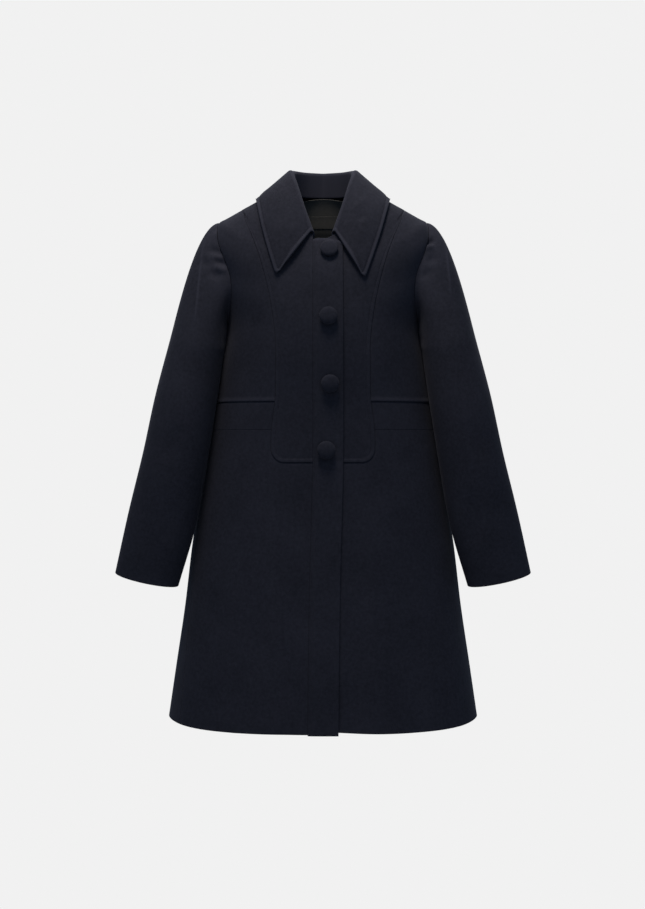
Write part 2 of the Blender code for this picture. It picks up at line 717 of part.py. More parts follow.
# Facing and label inside the back neck
def make_facing(name):
    runs = [FACING_TOP] + SHOULDER_RUNS[1:] + TIP_RUNS + ARMHOLE_RUNS[:FACING_ARMHOLE_ROWS]
    rows = [(run, math.pi - FACING_HALF_ANGLE, math.pi + FACING_HALF_ANGLE) for run in runs]
    grid = body_rows(1, rows, FACING_COLUMNS, -(WALL + FACING_GAP), FACING_WALL)
    make_wall(name, [grid], facing_cloth)


def make_label(name):
    rows = []
    for z in (LABEL_TOP_Z, (LABEL_TOP_Z + LABEL_FOOT_Z) / 2, LABEL_FOOT_Z):
        run = run_of_back(z)
        rows.append((run, math.pi - LABEL_HALF_ANGLE, math.pi + LABEL_HALF_ANGLE))
    lift = -(WALL + FACING_GAP + FACING_WALL + LAYER_GAP)
    make_wall(name, [body_rows(1, rows, LABEL_COLUMNS, lift, LABEL_WALL)], label_cloth)


def make_material(name, finish):
    material = bpy.data.materials.new(name)
    material.use_nodes = True
    shader = material.node_tree.nodes["Principled BSDF"]
    shader.inputs["Base Color"].default_value = finish.colour
    shader.inputs["Roughness"].default_value = finish.roughness
    shader.inputs["Metallic"].default_value = 0.0
    return material


# The coat
for old in list(bpy.data.objects):
    bpy.data.objects.remove(old, do_unlink=True)
coat = bpy.data.collections.new("wool_coat")
bpy.context.scene.collection.children.link(coat)
wool = make_material("navy_wool", WOOL)
facing_cloth = make_material("facing_cloth", FACING)
label_cloth = make_material("label_cloth", LABEL)

for side, hand in ((-1, "right"), (1, "left")):
    make_bib(f"bib_{hand}", side)
    make_side_front(f"side_front_{hand}", side)
    make_waistband(f"waistband_{hand}", side)
    make_skirt_front(f"skirt_front_{hand}", side)
    make_back(f"back_{hand}", side)
    make_sleeve(side, f"sleeve_top_{hand}", f"sleeve_under_{hand}")
make_placket("placket")
for number, place in enumerate(BUTTON_PLACES, start=1):
    make_button(f"button_{number}", place)
make_collar("collar")
make_facing("back_neck_facing")
make_label("neck_label")
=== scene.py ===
# %% [markdown]
# # A wool coat, panel by panel
# The coat is cut from felted navy wool and shown filled out, with no wearer. A tailor makes it from flat
# panels, so this lesson makes one thin shell for each panel. Every shell follows the solid of the same
# name, and the sewing, the turned edges and the soft creases are added on top.

import math
from collections import namedtuple

import bmesh
import bpy
import numpy as np
from mathutils import Matrix, Vector


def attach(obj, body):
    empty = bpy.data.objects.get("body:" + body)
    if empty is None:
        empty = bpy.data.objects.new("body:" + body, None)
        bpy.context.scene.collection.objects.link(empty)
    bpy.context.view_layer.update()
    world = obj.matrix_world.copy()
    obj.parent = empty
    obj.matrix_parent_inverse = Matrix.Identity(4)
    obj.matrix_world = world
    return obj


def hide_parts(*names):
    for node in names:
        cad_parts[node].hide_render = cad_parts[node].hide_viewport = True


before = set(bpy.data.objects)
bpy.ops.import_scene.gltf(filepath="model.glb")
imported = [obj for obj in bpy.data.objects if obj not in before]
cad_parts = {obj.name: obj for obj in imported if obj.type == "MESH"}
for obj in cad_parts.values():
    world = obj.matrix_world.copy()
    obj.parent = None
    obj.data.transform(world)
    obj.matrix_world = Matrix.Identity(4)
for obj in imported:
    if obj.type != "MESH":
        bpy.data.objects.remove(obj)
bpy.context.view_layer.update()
MM = 0.001
QUARTER = math.pi / 2
print("solids in the frame:", len(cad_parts))

# %% [markdown]
# ## The form under the cloth
# A tailor fits panels on a dress form. Here the form is a table of level sections from neck to hem. A
# smooth curve runs through them, so that any point is known by its angle from centre front and its run
# down the side. A sculpted mesh could do this too, but a table can be read, and the panels find their
# seams on it exactly.

# %% Sections of the form
Section = namedtuple("Section", "name z_front z_side z_back half_width front_depth back_depth side_seam")
BODY_SECTIONS = [
    Section("neck", -48, 43, 44, 62, 70, 80, 90),
    Section("collar seat", -60, 33, 30, 90, 78, 85, 90),
    Section("mid shoulder", -74, 14.5, 7, 125, 85, 90, 90),
    Section("near tip", -88, -8, -19, 165, 91, 95, 90),
    Section("shoulder tip", -93, -14, -25, 176, 93, 97, 90),
    Section("below tip", -101, -27, -37, 182, 96, 100, 90),
    Section("mid armhole", -148, -105, -110, 174, 108, 108, 90),
    Section("armpit", -197, -197, -197, 163, 116, 113, 90),
    Section("under bust", -246, -246, -246, 171, 118, 115, 88),
    Section("waist", -323, -323, -323, 184, 117, 117, 84),
    Section("bib foot", -413, -413, -413, 199, 121, 123, 79),
    Section("hip", -561, -561, -561, 222, 131, 134, 72),
    Section("thigh", -663, -663, -663, 234, 139, 142, 68),
    Section("knee", -762, -761, -762, 248.5, 147, 150, 65),
    Section("hem", -862, -850, -858, 261.5, 154, 157, 63),
]
BODY_FULLNESS = 0.03
SHOULDER_CURVE = 2
HEM_CURVE = 5.5
NUDGE = 0.05 * MM
NUDGE_ANGLE = 0.001


def smooth_curve(knots, values):
    """Return a function through values at rising knots, its tangents taken from three points each."""
    knots = np.asarray(knots, float)
    values = np.asarray(values, float)
    step = np.diff(knots)[:, None]
    slope = np.diff(values, axis=0) / step
    tangent = np.empty_like(values)
    tangent[1:-1] = (step[1:] * slope[:-1] + step[:-1] * slope[1:]) / (step[1:] + step[:-1])
    tangent[[0, -1]] = slope[[0, -1]]

    def at(where):
        where = np.asarray(where, float)
        i = np.clip(np.searchsorted(knots, where) - 1, 0, len(step) - 1)
        width = step[i]
        s = (where - knots[i])[..., None] / width
        keep = (1 + 2 * s) * (1 - s) ** 2
        bend = tangent[i] * s * (1 - s) ** 2 + tangent[i + 1] * s * s * (s - 1)
        return values[i] * keep + values[i + 1] * (1 - keep) + bend * width

    return at


side_line = np.array([(s.half_width, s.z_side) for s in BODY_SECTIONS]) * MM
RUNS = np.concatenate([[0], np.cumsum(np.linalg.norm(np.diff(side_line, axis=0), axis=1))])
RUN_OF = {s.name: run for s, run in zip(BODY_SECTIONS, RUNS)}
section_values = [[v * MM for v in s[1:-1]] + [math.radians(s.side_seam)] for s in BODY_SECTIONS]
section_at = smooth_curve(RUNS, section_values)


def body_point(angle, run):
    """Return points of the form, for arrays of angles and runs of one shape."""
    z_front, z_side, z_back, half_width, front_depth, back_depth, _ = np.moveaxis(section_at(run), -1, 0)
    in_front = np.cos(angle) > 0
    z_end = np.where(in_front, z_front, z_back)
    depth = np.where(in_front, front_depth, back_depth)
    full = 1 + BODY_FULLNESS * np.sin(2 * angle) ** 2
    x = half_width * full * np.sin(angle)
    y = -depth * full * np.cos(angle)
    curve = np.where(run < RUN_OF["armpit"], SHOULDER_CURVE, HEM_CURVE)
    z = z_end + (z_side - z_end) * np.abs(np.sin(angle)) ** curve
    return np.stack([x, y, z], -1)


def unit(vectors):
    return vectors / np.linalg.norm(vectors, axis=-1, keepdims=True)


def body_slopes(angle, run):
    around = (body_point(angle + NUDGE_ANGLE, run) - body_point(angle - NUDGE_ANGLE, run)) / (2 * NUDGE_ANGLE)
    down = (body_point(angle, run + NUDGE) - body_point(angle, run - NUDGE)) / (2 * NUDGE)
    return around, down


def body_normal(angle, run):
    around, down = body_slopes(angle, run)
    return unit(np.cross(down, around))


print("the form runs", round(RUNS[-1], 3), "m from neck to hem")

# %% [markdown]
# ## Finding places on the form
# A seam is drawn as it looks from the front, by its width and height. To sew along it, its angle and run
# are needed, so a halving search looks for them. Halving is slow but never fails on a surface this
# smooth.

# %% Searches on the form
SEARCH_STEPS = 42


def bisect(function, low, high):
    """Return where a rising function crosses zero, for whole arrays at once."""
    low = np.array(low, float)
    high = np.array(high, float)
    for _ in range(SEARCH_STEPS):
        middle = (low + high) / 2
        below = function(middle) < 0
        low = np.where(below, middle, low)
        high = np.where(below, high, middle)
    return (low + high) / 2


def angle_of_x(x, run):
    x, run = np.broadcast_arrays(x, run)
    quarter = np.full(x.shape, QUARTER)
    return bisect(lambda angle: body_point(angle, run)[..., 0] - x, -quarter, quarter)


def run_where(column, value, last="hem", falling=True):
    """Return the run at which one column of the sections has a value."""
    value = np.asarray(value, float)
    hand = -1 if falling else 1
    start = np.zeros(value.shape)
    return bisect(lambda run: hand * (section_at(run)[..., column] - value), start, start + RUN_OF[last])


def run_of_height(z):
    return run_where(0, z)


def run_of_shoulder(x):
    return run_where(3, x, "shoulder tip", False)


def run_of_back(z):
    return run_where(2, z)


def locate(x, z):
    """Return the angle and run of the points of the front that show at x and z."""
    x, z = np.broadcast_arrays(np.asarray(x, float), np.asarray(z, float))
    start = np.zeros(x.shape)
    run = bisect(lambda run: z - body_point(angle_of_x(x, run), run)[..., 2], start, start + RUN_OF["hem"])
    return angle_of_x(x, run), run


def move_round(angle, run, distance):
    around, _ = body_slopes(angle, run)
    return angle + distance / np.linalg.norm(around, axis=-1)


# %% [markdown]
# ## Seam lines
# The bib lies between the placket and two princess seams, and its foot has round corners. Each seam is a
# short list of places with a smooth curve through them. Panels stop a hair short of their seam, so that
# no two touch. Only the right front is tucked a hair under the placket's seam, so that no light shows
# through it.

# %% Seams of the front
SEAM_GAP = 0.04 * MM
BIB_SHOULDER_X = 137.5 * MM
SeamPoint = namedtuple("SeamPoint", "x z")
PRINCESS_SEAM = [
    SeamPoint(130, -15),
    SeamPoint(120.5, -38),
    SeamPoint(108.5, -70),
    SeamPoint(98, -105),
    SeamPoint(84, -170),
    SeamPoint(78.5, -215),
    SeamPoint(78, -272),
    SeamPoint(79, -320),
    SeamPoint(83, -350),
    SeamPoint(85.5, -380),
    SeamPoint(85.5, -398.5),
]
BIB_CORNER_RADIUS = 22 * MM
WAISTBAND_TOP_Z = -320 * MM
WAISTBAND_FOOT_Z = -367 * MM
SIDE_FRONT_TIP = 0.35 * MM
PRINCESS_START = 4 * MM
PRINCESS_STEPS = 40
ARMHOLE_SPREAD = math.radians(30)
ARMHOLE_FULLNESS = 0.6
PlacketPoint = namedtuple("PlacketPoint", "z seam_x")
PLACKET_SEAM = [
    PlacketPoint(-46, -17),
    PlacketPoint(-240, -17),
    PlacketPoint(-420, -17),
    PlacketPoint(-620, -22),
    PlacketPoint(-861, -25),
]

BIB_SHOULDER_RUN = float(run_of_shoulder(BIB_SHOULDER_X))
WAISTBAND_TOP = float(run_of_height(WAISTBAND_TOP_Z))
WAISTBAND_FOOT = float(run_of_height(WAISTBAND_FOOT_Z))
CORNER_Z = PRINCESS_SEAM[-1].z * MM
CORNER_X = PRINCESS_SEAM[-1].x * MM - BIB_CORNER_RADIUS
CORNER_RUN = float(run_of_height(CORNER_Z))
BIB_FOOT_RUN = float(run_of_height(CORNER_Z - BIB_CORNER_RADIUS))

shoulder_z = float(section_at(BIB_SHOULDER_RUN)[1])
seam_line = smooth_curve([-shoulder_z] + [-p.z * MM for p in PRINCESS_SEAM],
                         [[BIB_SHOULDER_X]] + [[p.x * MM] for p in PRINCESS_SEAM])
seam_heights = np.linspace(shoulder_z - PRINCESS_START, CORNER_Z, PRINCESS_STEPS)
seam_angles, seam_runs = locate(seam_line(-seam_heights)[:, 0], seam_heights)
princess_curve = smooth_curve(np.concatenate([[BIB_SHOULDER_RUN], seam_runs]),
                              np.concatenate([[QUARTER], seam_angles])[:, None])
placket_curve = smooth_curve([-p.z * MM for p in PLACKET_SEAM], [[p.seam_x * MM] for p in PLACKET_SEAM])


def princess_angle(run, shift):
    """Return the seam's angle, moved square to the seam by shift."""
    on_shoulder = run <= BIB_SHOULDER_RUN
    angle = np.where(on_shoulder, QUARTER, princess_curve(run)[..., 0])
    around, down = body_slopes(angle, run)
    swing = (princess_curve(run + NUDGE)[..., 0] - angle) / NUDGE
    slant = np.where(on_shoulder, 0, swing)
    slant = slant * np.linalg.norm(around, axis=-1) / np.linalg.norm(down, axis=-1)
    return move_round(angle, run, shift * np.hypot(1, slant))


def bib_edge(run, shift):
    """Return the angle of the bib's outer edge: the princess seam, then the round corner at the foot."""
    radius = BIB_CORNER_RADIUS + shift
    below = np.clip(CORNER_Z - section_at(run)[..., 0], 0, radius)
    rounded = angle_of_x(CORNER_X + np.sqrt(radius ** 2 - below ** 2), run)
    return np.where(run <= CORNER_RUN, princess_angle(run, shift), rounded)


def placket_angle(run, across):
    seam_x = placket_curve(-section_at(run)[..., 0])[..., 0]
    return angle_of_x(seam_x + across, run)


def armhole_spread(run):
    share = (run - RUN_OF["shoulder tip"]) / (RUN_OF["armpit"] - RUN_OF["shoulder tip"])
    return ARMHOLE_SPREAD * np.sin(math.pi * np.clip(share, 0, 1)) ** ARMHOLE_FULLNESS


def side_angle(run, away):
    edge = section_at(run)[..., -1] + away * armhole_spread(run)
    return move_round(edge, run, away * SEAM_GAP / 2)


print("bib foot lies", round(BIB_FOOT_RUN, 3), "m down the side")

# %% [markdown]
# ## Spacing the points
# Detail sits at the edges: the cloth turns under there and a row of stitches follows. So points lie close
# together by an edge and a few millimetres apart elsewhere. A uniform fine mesh would look the same and
# be far heavier.

# %% Steps across a panel
EDGE_STEPS = np.array([0, 0.15, 0.45, 0.9, 1.5, 2.3, 3.3, 4.4, 5.4, 6.2, 7.0, 7.8, 8.8, 10.2, 12.2]) * MM
PITCH = 4.2 * MM
RULER_STEPS = 40
BANDS_ACROSS = 3


def spread_steps(widths, pitch=PITCH):
    """Return distances across each row: close together by both edges, a pitch apart between them."""
    widths = np.asarray(widths, float)[:, None]
    near = EDGE_STEPS * np.minimum(1, widths / (BANDS_ACROSS * EDGE_STEPS[-1]))
    count = max(2, round((widths.max() - 2 * EDGE_STEPS[-1]) / pitch))
    share = np.linspace(0, 1, count + 1)[1:-1]
    middle = near[:, -1:] + (widths - 2 * near[:, -1:]) * share
    return np.concatenate([near, middle, widths - near[:, ::-1]], axis=1)


def spread_runs(start, end, pitch=PITCH):
    return start + spread_steps([end - start], pitch)[0]


def path_lengths(points, axis):
    """Return how far along an axis of a grid each point lies."""
    steps = np.linalg.norm(np.diff(points, axis=axis), axis=-1)
    start = np.zeros_like(np.take(steps, [0], axis=axis))
    return np.concatenate([start, np.cumsum(steps, axis=axis)], axis=axis)


def lay_panel(side, runs, first, last):
    """Return the angles and runs of a panel's points between its first and last angle on each row."""
    shares = np.linspace(0, 1, RULER_STEPS + 1)
    ruler = first[:, None] + (last - first)[:, None] * shares
    along = path_lengths(body_point(ruler, np.broadcast_to(runs[:, None], ruler.shape)), 1)
    across = spread_steps(along[:, -1])
    share = np.stack([np.interp(steps, marks, shares) for steps, marks in zip(across, along)])
    angle = side * (first[:, None] + (last - first)[:, None] * share)
    return angle, np.broadcast_to(runs[:, None], angle.shape)


# %% [markdown]
# ## Creases
# Wool this thick falls in a few broad, soft waves. Each is given as a line with a width and a
# height, and pushes the cloth out or in along the line. A cloth simulation would crumple the pressed
# panels, and a noise texture would look the same all over, so a short table is used.

# %% Soft waves of the cloth
Crease = namedtuple("Crease", "x0 z0 x1 z1 width height kept_below", defaults=[0])
CREASE_FADE = 0.9
CREASE_TURN = 1.5
FRONT_CREASES = [
    Crease(-205, -560, -232, -861, 20, 1.6, 1),
    Crease(-150, -480, -168, -861, 24, -1.8, 1),
    Crease(-92, -520, -100, -861, 22, 1.4, 1),
    Crease(-52, -600, -58, -861, 14, -1.2, 1),
    Crease(78, -470, 96, -861, 22, 1.5, 1),
    Crease(134, -500, 160, -861, 24, -1.9, 1),
    Crease(200, -540, 228, -861, 20, 1.7, 1),
    Crease(48, -640, 52, -861, 12, -1.0, 1),
    Crease(-120, -215, -150, -300, 14, -1.1),
    Crease(124, -205, 152, -310, 14, -1.2),
    Crease(-104, -120, -112, -190, 12, 0.8),
    Crease(110, -118, 116, -200, 12, 0.8),
]
BACK_CREASES = [
    Crease(-190, -520, -220, -858, 26, 2.0, 1),
    Crease(-128, -430, -140, -858, 26, -2.2, 1),
    Crease(-62, -480, -70, -858, 24, 1.8, 1),
    Crease(40, -500, 46, -858, 22, -1.6, 1),
    Crease(104, -440, 116, -858, 26, 2.0, 1),
    Crease(170, -480, 196, -858, 26, -2.2, 1),
    Crease(-120, -170, -70, -260, 18, -1.4),
    Crease(116, -160, 74, -250, 18, -1.4),
    Crease(-60, -300, 66, -306, 14, 1.0),
]


def crease_height(points, creases, facing):
    """Return how far the creases lift each point, fading where the cloth doesn't face their way."""
    lift = np.zeros(points.shape[:-1])
    flat = points[..., [0, 2]]
    for crease in creases:
        start = np.array((crease.x0, crease.z0)) * MM
        way = np.array((crease.x1, crease.z1)) * MM - start
        share = np.clip((flat - start) @ way / (way @ way), 0, 1)
        away = np.linalg.norm(flat - start - share[..., None] * way, axis=-1)
        fade = np.sin(math.pi * share) ** CREASE_FADE
        fade = np.where(share > 0.5, np.maximum(fade, crease.kept_below), fade)
        lift += crease.height * MM * fade * np.exp(-(away / (crease.width * MM)) ** 2)
    return lift * np.clip(facing, 0, 1)


def body_creases(points, normals):
    front = crease_height(points, FRONT_CREASES, -CREASE_TURN * normals[..., 1])
    return front + crease_height(points, BACK_CREASES, CREASE_TURN * normals[..., 1])


print("creases placed:", len(FRONT_CREASES) + len(BACK_CREASES))

# %% [markdown]
# ## One panel of cloth
# Every panel starts as a flat grid, as the cloth does on the cutting table. Its points are moved to their
# places, the whole face is extruded once for the inner side, and the edges are rounded by drawing both
# sides together over the last millimetre. A Solidify modifier would also give thickness, but not the
# round edge.

# %% Making a wall of cloth
WALL = 2.5 * MM
TURN_SHARE = 0.44
MERGE_DISTANCE = NUDGE / 5
pieces = {}


def round_edge(distance, wall):
    """Return how far each side of the cloth draws in at this distance from a turned edge."""
    radius = wall * TURN_SHARE
    short = np.clip(radius - distance, 0, radius)
    return radius - np.sqrt(radius ** 2 - short ** 2)


def add_grid(bm, outer, inner, pressed):
    """Add one grid of outer points, each with the inner point behind it and the light painted into its
    colour.
    """
    behind = bm.verts.layers.float_vector["behind"]
    painted_light_layer = bm.verts.layers.float["pressed"]
    row_count, column_count = outer.shape[0] - 1, outer.shape[1] - 1
    made = bmesh.ops.create_grid(bm, x_segments=column_count, y_segments=row_count, size=1)
    for vert in made["verts"]:
        row = round((vert.co.y + 1) / 2 * row_count)
        column = round((vert.co.x + 1) / 2 * column_count)
        vert.co = outer[row, column]
        vert[behind] = inner[row, column]
        vert[painted_light_layer] = pressed[row, column]


def sew(name, grids, material, slot="navy_wool"):
    """Make one closed piece from grids of outer and inner points, and let it stand for its solid."""
    bm = bmesh.new()
    bm.verts.layers.float.new("pressed")
    bm.verts.layers.float_vector.new("behind")
    for outer, inner, pressed in grids:
        add_grid(bm, outer, inner, pressed)
    bmesh.ops.remove_doubles(bm, verts=bm.verts[:], dist=MERGE_DISTANCE)
    made = bmesh.ops.extrude_face_region(bm, geom=bm.faces[:], use_keep_orig=True)
    behind = bm.verts.layers.float_vector["behind"]
    for item in made["geom"]:
        if isinstance(item, bmesh.types.BMVert):
            item.co = item[behind]
    bmesh.ops.recalc_face_normals(bm, faces=bm.faces[:])
    pieces[name] = finish_piece(name, bm, material, slot, name)


def finish_piece(name, bm, material, slot, *stands_for):
    """Turn a bmesh into a smooth piece that rides on the coat."""
    mesh = bpy.data.meshes.new("cloth_" + name)
    bm.to_mesh(mesh)
    bm.free()
    mesh.shade_smooth()
    mesh.materials.append(material)
    piece = bpy.data.objects.new("cloth_" + name, mesh)
    bpy.context.scene.collection.objects.link(piece)
    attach(piece, "root")
    if stands_for:
        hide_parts(*stands_for)
    print(piece.name, len(mesh.polygons), "faces")
    return piece


# %% [markdown]
# ## Shader arithmetic
# Finishes are easier to read as sums than as a web of nodes. One small class wraps a socket, so that plus
# and times add the Math nodes, and one method makes every other node.

# %% A wrapped socket
class Value:
    """A node socket that can be added and multiplied."""

    def __init__(self, tree, socket):
        self.tree = tree
        self.socket = socket

    def math(self, operation, *others):
        links = {i: value for i, value in enumerate((self,) + others)}
        return node(self.tree, "ShaderNodeMath", {"operation": operation}, links)

    def __add__(self, other):
        return self.math("ADD", other)

    def __sub__(self, other):
        return self.math("SUBTRACT", other)

    def __mul__(self, other):
        return self.math("MULTIPLY", other)

    __radd__ = __add__
    __rmul__ = __mul__

    def __rsub__(self, other):
        return (self * -1) + other


def node(tree, kind, settings, values, output=0):
    """Add a node with its settings, then its values or links, and return one of its outputs."""
    made = tree.nodes.new(kind)
    for key, setting in settings.items():
        setattr(made, key, setting)
    for key, value in values.items():
        if isinstance(value, Value):
            tree.links.new(value.socket, made.inputs[key])
        else:
            made.inputs[key].default_value = value
    return Value(tree, made.outputs[output])


# %% [markdown]
# ## The wool
# Felted wool is matt and slightly mottled, with short fibres that catch light at a grazing angle. The
# colour mixes two close navies by a cloudy noise, a fine noise makes the felted grain, and sheen stands
# for the fibres. Each panel also notes painted light at its points, where the lighter navy comes through:
# painted highlights along turned edges and ridges, and painted light that lifts shade in hollows. Real
# hair strands would cost a great deal and show less than a pixel wide.

# %% Cloth finishes
Finish = namedtuple("Finish", "dark light roughness sheen sheen_roughness sheen_tint grain_depth")
WOOL = Finish((0.0060, 0.0067, 0.0102, 1), (0.0142, 0.0152, 0.0220, 1),
              0.95, 0.05, 0.36, (0.44, 0.46, 0.56, 1), 0.35)
# The facing and label are a grey cloth, and part of their lightness is painted light that lifts the shade
# inside the back neck.
FACING = Finish((0.0370, 0.0375, 0.0360, 1), (0.0480, 0.0487, 0.0468, 1),
                0.8, 0.06, 0.4, (0.4, 0.4, 0.42, 1), 0.12)
LABEL = Finish((0.0355, 0.0360, 0.0347, 1), (0.0462, 0.0469, 0.0451, 1),
               0.6, 0.05, 0.4, (0.4, 0.4, 0.5, 1), 0.06)
THREAD = Finish((0.0055, 0.0058, 0.0095, 1), (0.0120, 0.0125, 0.0190, 1),
                0.7, 0.15, 0.4, (0.4, 0.44, 0.6, 1), 0.05)
Noise = namedtuple("Noise", "scale detail distortion", defaults=[0])
CLOUD = Noise(16, 3)
MOTTLE = Noise(190, 4)
GRAIN = Noise(950, 3)
FIBRE = Noise(330, 5, 1.6)
CLOUD_SHARE = 0.7
# How far painted light shifts the colour towards the lighter navy:
PAINTED_LIGHT_GAIN = 0.7
DARK_START = 0.95
BUMP_STRENGTH = 0.6
SPECULAR = 0.06


def make_noise(tree, place, noise):
    values = {"Vector": place, "Scale": noise.scale, "Detail": noise.detail, "Distortion": noise.distortion}
    return node(tree, "ShaderNodeTexNoise", {}, values)


def make_cloth(name, finish):
    material = bpy.data.materials.new(name)
    material.use_nodes = True
    tree = material.node_tree
    shader = tree.nodes["Principled BSDF"]
    place = node(tree, "ShaderNodeTexCoord", {}, {}, "Object")
    cloud, mottle, grain, fibre = [make_noise(tree, place, n) for n in (CLOUD, MOTTLE, GRAIN, FIBRE)]
    # Painted light: where a panel notes it, the colour shifts to the lighter navy, as painted highlights or
    # as painted light that lifts shade.
    pressed = node(tree, "ShaderNodeAttribute", {"attribute_name": "pressed"}, {}, "Fac")
    mix = cloud * CLOUD_SHARE + mottle + grain + pressed * PAINTED_LIGHT_GAIN - DARK_START
    colour = node(tree, "ShaderNodeMix", {"data_type": "RGBA", "clamp_factor": True},
                  {0: mix, 6: finish.dark, 7: finish.light}, 2)
    bump = node(tree, "ShaderNodeBump", {}, {"Strength": BUMP_STRENGTH, "Distance": finish.grain_depth * MM,
                                             "Height": (grain + fibre) * 0.5})
    tree.links.new(colour.socket, shader.inputs["Base Color"])
    tree.links.new(bump.socket, shader.inputs["Normal"])
    constants = {"Roughness": finish.roughness, "Specular IOR Level": SPECULAR, "Sheen Weight": finish.sheen,
                 "Sheen Roughness": finish.sheen_roughness, "Sheen Tint": finish.sheen_tint}
    for socket, value in constants.items():
        shader.inputs[socket].default_value = value
    return material


wool = make_cloth("felted_wool", WOOL)
facing_cloth = make_cloth("facing_twill", FACING)
label_cloth = make_cloth("woven_label", LABEL)
thread = make_cloth("sewing_thread", THREAD)
print("finishes:", len(bpy.data.materials))

# %% [markdown]
# ## Panels of the body
# Each body panel knows its rows, its two side edges and how its edges are finished. A plain edge turns
# down into its seam. A topped edge, as on the bib, lies over its neighbour: it stands up a little, and
# its stitching pulls a fine groove beside it.

# %% Laying a body panel
STITCH_IN = 6.6 * MM
STITCH_GROOVE = 0.5 * MM
STITCH_WIDTH = 1.0 * MM
TOPPED_RISE = 0.7 * MM
TOPPED_WIDTH = 6.0 * MM
# Painted highlight: the band along stitched edges, and its strength on the bib.
BAND_IN = 2.6 * MM
BAND_WIDTH = 2.4 * MM
BIB_HIGHLIGHT = 0.1
BIB_SIDE_FLAT = 0.6
# Painted light that lifts the shade by the armhole:
ARMHOLE_PAINTED_LIGHT = 0.5
ARMHOLE_REACH = 38 * MM
SUNK_DEPTH = 0.6 * MM
SUNK_WIDTH = 2.6 * MM
PRESSED_OPEN = 0.5 * MM


def stitch_groove(distance):
    return STITCH_GROOVE * np.exp(-((distance - STITCH_IN) / STITCH_WIDTH) ** 2)


def ridge_only(distance):
    return TOPPED_RISE * np.exp(-(distance / TOPPED_WIDTH) ** 4)


def topped(distance):
    """Return the lift of a stitched edge that lies over its neighbour."""
    return ridge_only(distance) - stitch_groove(distance)


def sunk(distance):
    """Return the dip of a panel that is sewn under its neighbour's edge."""
    return -SUNK_DEPTH * np.exp(-(distance / SUNK_WIDTH) ** 2)


def band(distance):
    """Return the share of painted highlight in the band between an edge and its stitches."""
    return np.exp(-((distance - BAND_IN) / BAND_WIDTH) ** 2)


def edge_with(*open_seams):
    """Return a rule for the distance to an edge. A seam ironed open turns down less than a free edge."""

    def nearest(points, edges):
        return np.minimum.reduce([gap + PRESSED_OPEN * (name in open_seams) for name, gap in edges.items()])

    return nearest


def no_press(points, edges):
    return np.zeros(points.shape[:-1])


def wrap(angle, run, lift=0.0, wall=WALL, edge=edge_with(), extra=no_press, press=no_press):
    """Return a panel's outer and inner points, creased and round at its edges, and the light painted into its
    colour.
    """
    points = body_point(angle, run)
    normals = body_normal(angle, run)
    across = path_lengths(points, 1)
    down = path_lengths(points, 0)
    edges = {"near": across, "far": across[:, -1:] - across, "top": down, "foot": down[-1:] - down}
    rise = lift + body_creases(points, normals) + extra(points, edges)
    drawn = round_edge(edge(points, edges), wall)
    outer = points + (rise - drawn)[..., None] * normals
    inner = points + (rise - wall + drawn)[..., None] * normals
    return outer, inner, press(points, edges)


def sew_panel(name, side, runs, first, last, **finish):
    """Lay a panel between its first and last angle on each row, and sew it."""
    angle, run = lay_panel(side, runs, first, last)
    sew(name, [wrap(angle, run, **finish)], wool)


# %% [markdown]
# ## Bib, side fronts, waistbands and skirt fronts
# The bib is the layer on top: its princess edges and round foot are stitched down over the side fronts,
# the waistbands and the skirt. The distance to its edge is measured once, so that the ridge, the groove
# and later the stitches all follow the same line.

# %% Front panels
UNDERLAP_START = 9 * MM
SEAM_TUCK = 0.25 * MM
CORNER_PITCH = 1.2 * MM
# Painted highlight along the foot of the side fronts:
WAIST_HIGHLIGHT = 0.6
sides = ((-1, "right"), (1, "left"))


def front_edge(side, run):
    if side < 0:
        return -placket_angle(run, SEAM_TUCK)
    return placket_angle(run, UNDERLAP_START)


def bib_gap(points, side_distance):
    """Return the distance inside the bib's outer edge, round its corner and along its foot."""
    x, z = np.abs(points[..., 0]), points[..., 2]
    foot = z - (CORNER_Z - BIB_CORNER_RADIUS)
    corner = BIB_CORNER_RADIUS - np.hypot(x - CORNER_X, z - CORNER_Z)
    below = z < CORNER_Z
    straight = np.where(below, np.minimum(foot, side_distance), side_distance)
    return np.where(below & (x > CORNER_X), corner, straight)


def bib_nearest(points, edges):
    gap = np.maximum(bib_gap(points, edges["far"]), 0)
    return np.minimum.reduce([gap, edges["near"], edges["top"]])


def bib_rise(points, edges):
    """Return the lift of the bib's edge: slight down the sides, full along the foot."""
    gap = np.maximum(bib_gap(points, edges["far"]), 0)
    foot = np.clip((CORNER_Z - points[..., 2]) / BIB_CORNER_RADIUS, 0, 1)
    return topped(gap) - (1 - foot) * BIB_SIDE_FLAT * ridge_only(gap)


# Painted highlight: a paler band inside the bib's edge.
def bib_press(points, edges):
    return BIB_HIGHLIGHT * band(bib_gap(points, edges["far"]))


def side_front_rise(points, edges):
    return sunk(edges["near"]) + ridge_only(edges["foot"])


# Painted light: a painted highlight along the foot, and painted light that lifts the shade by the armhole.
def side_front_press(points, edges):
    return WAIST_HIGHLIGHT * band(edges["foot"]) + ARMHOLE_PAINTED_LIGHT * np.exp(-(edges["far"] / ARMHOLE_REACH) ** 2)


def waistband_rise(points, edges):
    return sunk(edges["near"]) + sunk(edges["top"])


